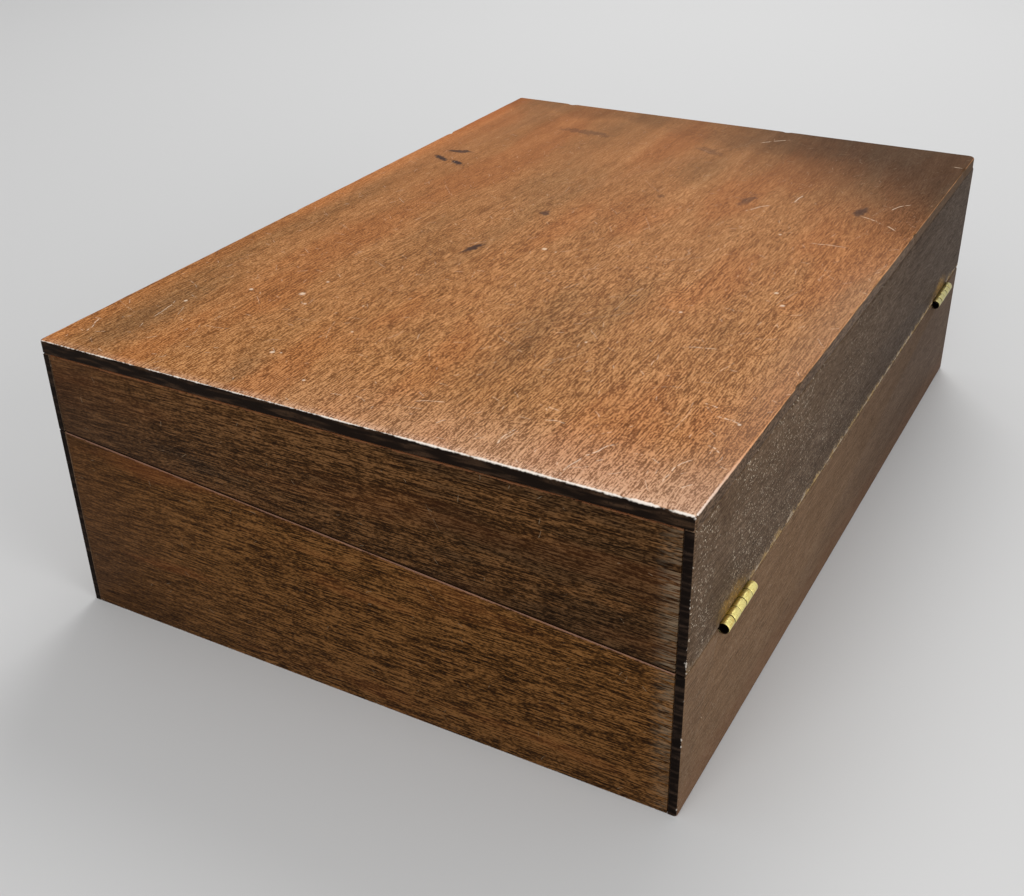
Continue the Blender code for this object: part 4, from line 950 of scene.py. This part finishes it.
def addKnuckle(shape, start, end, offset):
    # a rolled tube with rounded lips, turned about the pin
    edge, bore, radius = hinge["edge"], hinge["bore"], hinge["radius"]
    small, large = edge * 0.3, edge * 0.6
    profile = [(bore, start + large), (bore + large, start), (radius - edge, start),
               (radius - small, start + small), (radius, start + edge), (radius, end - edge),
               (radius - small, end - small), (radius - edge, end), (bore + large, end),
               (bore, end - large)]
    ring = bmesh.new()
    points = [ring.verts.new((along, 0, out)) for out, along in profile]
    lines = [ring.edges.new(pair) for pair in zip(points, points[1:] + points[:1])]
    bmesh.ops.spin(ring, geom=points + lines, cent=(0, 0, 0), axis=(1, 0, 0),
                   angle=math.tau, steps=hinge["sides"], use_merge=True)
    bmesh.ops.remove_doubles(ring, verts=ring.verts, dist=meshing["merge"])
    bmesh.ops.recalc_face_normals(ring, faces=ring.faces)
    bmesh.ops.translate(ring, vec=(0, hinge["y"] + offset, hinge["z"] + offset * 0.5),
                        verts=ring.verts)
    mesh = newMesh("knuckle", ring)
    shape.from_mesh(mesh)
    bpy.data.meshes.remove(mesh)


def buildLeaf(word, side, body):
    # keep the flat leaf of the solid and roll new knuckles
    node = "hinge_" + word + "_" + body + "_leaf"
    shape = copyOf(node)
    cut = bmesh.ops.bisect_plane(shape, geom=shape.verts[:] + shape.edges[:] + shape.faces[:],
                                 plane_co=(0, hinge["y"] - hinge["plateEnd"], 0),
                                 plane_no=(0, 1, 0), clear_outer=True)
    rim = [e for e in cut["geom_cut"] if isinstance(e, bmesh.types.BMEdge)]
    bmesh.ops.holes_fill(shape, edges=rim)
    width = hinge["length"] / hinge["knuckles"]
    first = side * hinge["x"] - hinge["length"] / 2 + hinge["gap"] / 2
    # the lid's knuckles stand between those of the base
    for index in range(int(body == "lid"), hinge["knuckles"], 2):
        start = first + index * width
        addKnuckle(shape, start, start + width - hinge["gap"], hinge["stagger"][index])
    addPiece(word + "Hinge" + body.capitalize() + "Leaf", shape, materials["hingeBrass"],
             body, node)


def buildPin(word):
    # the pin stops short of the open near end
    node = "hinge_" + word + "_pin"
    low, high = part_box(node)
    shape = bmesh.new()
    bmesh.ops.create_cone(shape, cap_ends=True, segments=hinge["pinSides"],
                          radius1=hinge["pin"], radius2=hinge["pin"],
                          depth=high.x - low.x - hinge["recess"])
    ends = [e for e in shape.edges
            if abs(e.verts[0].co.z - e.verts[1].co.z) < meshing["level"]]
    soften(shape, ends, hinge["edge"], 3)
    bmesh.ops.rotate(shape, verts=shape.verts, cent=(0, 0, 0),
                     matrix=Matrix.Rotation(quarterTurn, 3, "Y"))
    bmesh.ops.translate(shape, verts=shape.verts,
                        vec=((low.x + high.x - hinge["recess"]) / 2, hinge["y"], hinge["z"]))
    addPiece(word + "HingePin", shape, materials["steel"], "base", node)


def buildHinges():
    for word, side in (("near", 1), ("far", -1)):
        for body in ("base", "lid"):
            buildLeaf(word, side, body)
        buildPin(word)


# node, body and finish
inside = {"arris": 0.0004, "pieces": [
    ("base_bottom", "base", "inside"), ("tray_divider", "base", "inside"),
    ("ink_partition_near", "base", "insideAcross"),
    ("ink_partition_far", "base", "insideAcross"),
    ("tray_bearer_near", "base", "insideAcross"), ("tray_bearer_far", "base", "insideAcross"),
    ("pen_tray", "base", "inkyTray"), ("base_flap_ledge_near", "base", "insideAcross"),
    ("base_flap_ledge_far", "base", "insideAcross"),
    ("lid_flap_ledge_near", "lid", "insideAcross"),
    ("lid_flap_ledge_far", "lid", "insideAcross"), ("lid_flap_ledge_lock", "lid", "inside"),
    ("base_flap", "base_flap", "inside"), ("lid_flap", "lid_flap", "inside"),
    ("base_writing_skin", "base_flap", "baseSkin"),
    ("lid_writing_skin", "lid_flap", "lidSkin")]}


def buildInside():
    for node, body, key in inside["pieces"]:
        softCopy(camelName(node), node, materials[key], body, inside["arris"])


# solids that keep their own mesh
plainFinishes = {
    "brass": ["lock_plate", "lock_bolt", "keyhole_escutcheon", "link_plate",
              "base_flap_pin_near", "base_flap_pin_far", "lid_flap_pin_near",
              "lid_flap_pin_far", "inkwell_cap_near", "inkwell_cap_far"],
    "oldBrass": ["lock_case", "lock_screw_1", "lock_screw_2", "link_screw_1", "link_screw_2"]
    + ["hinge_" + word + "_" + body + "_screw_" + number for word in ("near", "far")
       for body in ("base", "lid") for number in ("1", "2")],
    "steel": ["lock_key_pin"],
    "glass": ["inkwell_near", "inkwell_far"],
}


def finishPlainNodes():
    for key, nodes in plainFinishes.items():
        for node in nodes:
            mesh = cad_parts[node].data
            mesh.materials.clear()
            mesh.materials.append(materials[key])


buildLidTop()
print("lid top built")
buildBoards()
print("boards built")
buildHinges()
print("hinges built")
buildInside()
finishPlainNodes()
print("inside built")

studio = {"floorColour": (0.62, 0.62, 0.62, 1), "floorHalf": 6, "floorRoughness": 0.7,
          "floorSpecular": 0.1, "backColour": (0.72, 0.72, 0.72, 1), "skyStrength": 0.52,
          "camera": {"place": (0.4504, 0.2213, 0.3001), "turn": (59.968, 0.941, 118.905),
                     "lens": 45.42, "sensor": 36, "clipStart": 0.01},
          # place, aim, size, watts
          "lamps": {"back": ((-1.25, -0.30, 1.45), (0.0, 0.0, 0.1), 1.1, 16),
                    "front": ((1.3, 0.1, 0.9), (0.1, 0.0, 0.05), 1.0, 6),
                    "side": ((0.32, 0.95, 0.55), (0.08, 0.1, 0.05), 0.6, 3.4)}}


def buildWorld():
    world = bpy.data.worlds.new("studio")
    bpy.context.scene.world = world
    world.use_nodes = True
    work["tree"] = world.node_tree
    work["tree"].nodes.clear()
    ray = add("LightPath")
    seen = most(ray["Is Camera Ray"], ray["Is Glossy Ray"], ray["Is Transmission Ray"])
    light = add("Background", {"Color": (1, 1, 1, 1), "Strength": studio["skyStrength"]})
    shown = add("Background", {"Color": studio["backColour"], "Strength": 1.0})
    mix = add("MixShader", {0: seen, 1: light[0], 2: shown[0]})
    add("OutputWorld", {"Surface": mix[0]})


def buildFloor():
    shape = bmesh.new()
    bmesh.ops.create_grid(shape, x_segments=2, y_segments=2, size=studio["floorHalf"])
    floor = newObject("floor", newMesh("floor", shape))
    material, shader, vector, normal = newMaterial("studioFloor")
    fill(shader, {"Base Color": studio["floorColour"], "Roughness": studio["floorRoughness"],
                  "Specular IOR Level": studio["floorSpecular"]})
    floor.data.materials.append(material)


def buildLamps():
    for name, (spot, aim, size, watts) in studio["lamps"].items():
        data = bpy.data.lights.new(name, "AREA")
        data.shape = "DISK"
        data.size = size
        data.energy = watts
        lamp = newObject(name, data)
        lamp.location = spot
        lamp.rotation_euler = (Vector(aim) - Vector(spot)).to_track_quat("-Z", "Y").to_euler()


def buildCamera():
    settings = studio["camera"]
    data = bpy.data.cameras.new("camera")
    data.lens = settings["lens"]
    data.sensor_width = settings["sensor"]
    data.clip_start = settings["clipStart"]
    camera = newObject("camera", data)
    camera.location = settings["place"]
    camera.rotation_euler = [math.radians(angle) for angle in settings["turn"]]
    bpy.context.scene.camera = camera


buildWorld()
buildFloor()
buildLamps()
buildCamera()
print("studio built")
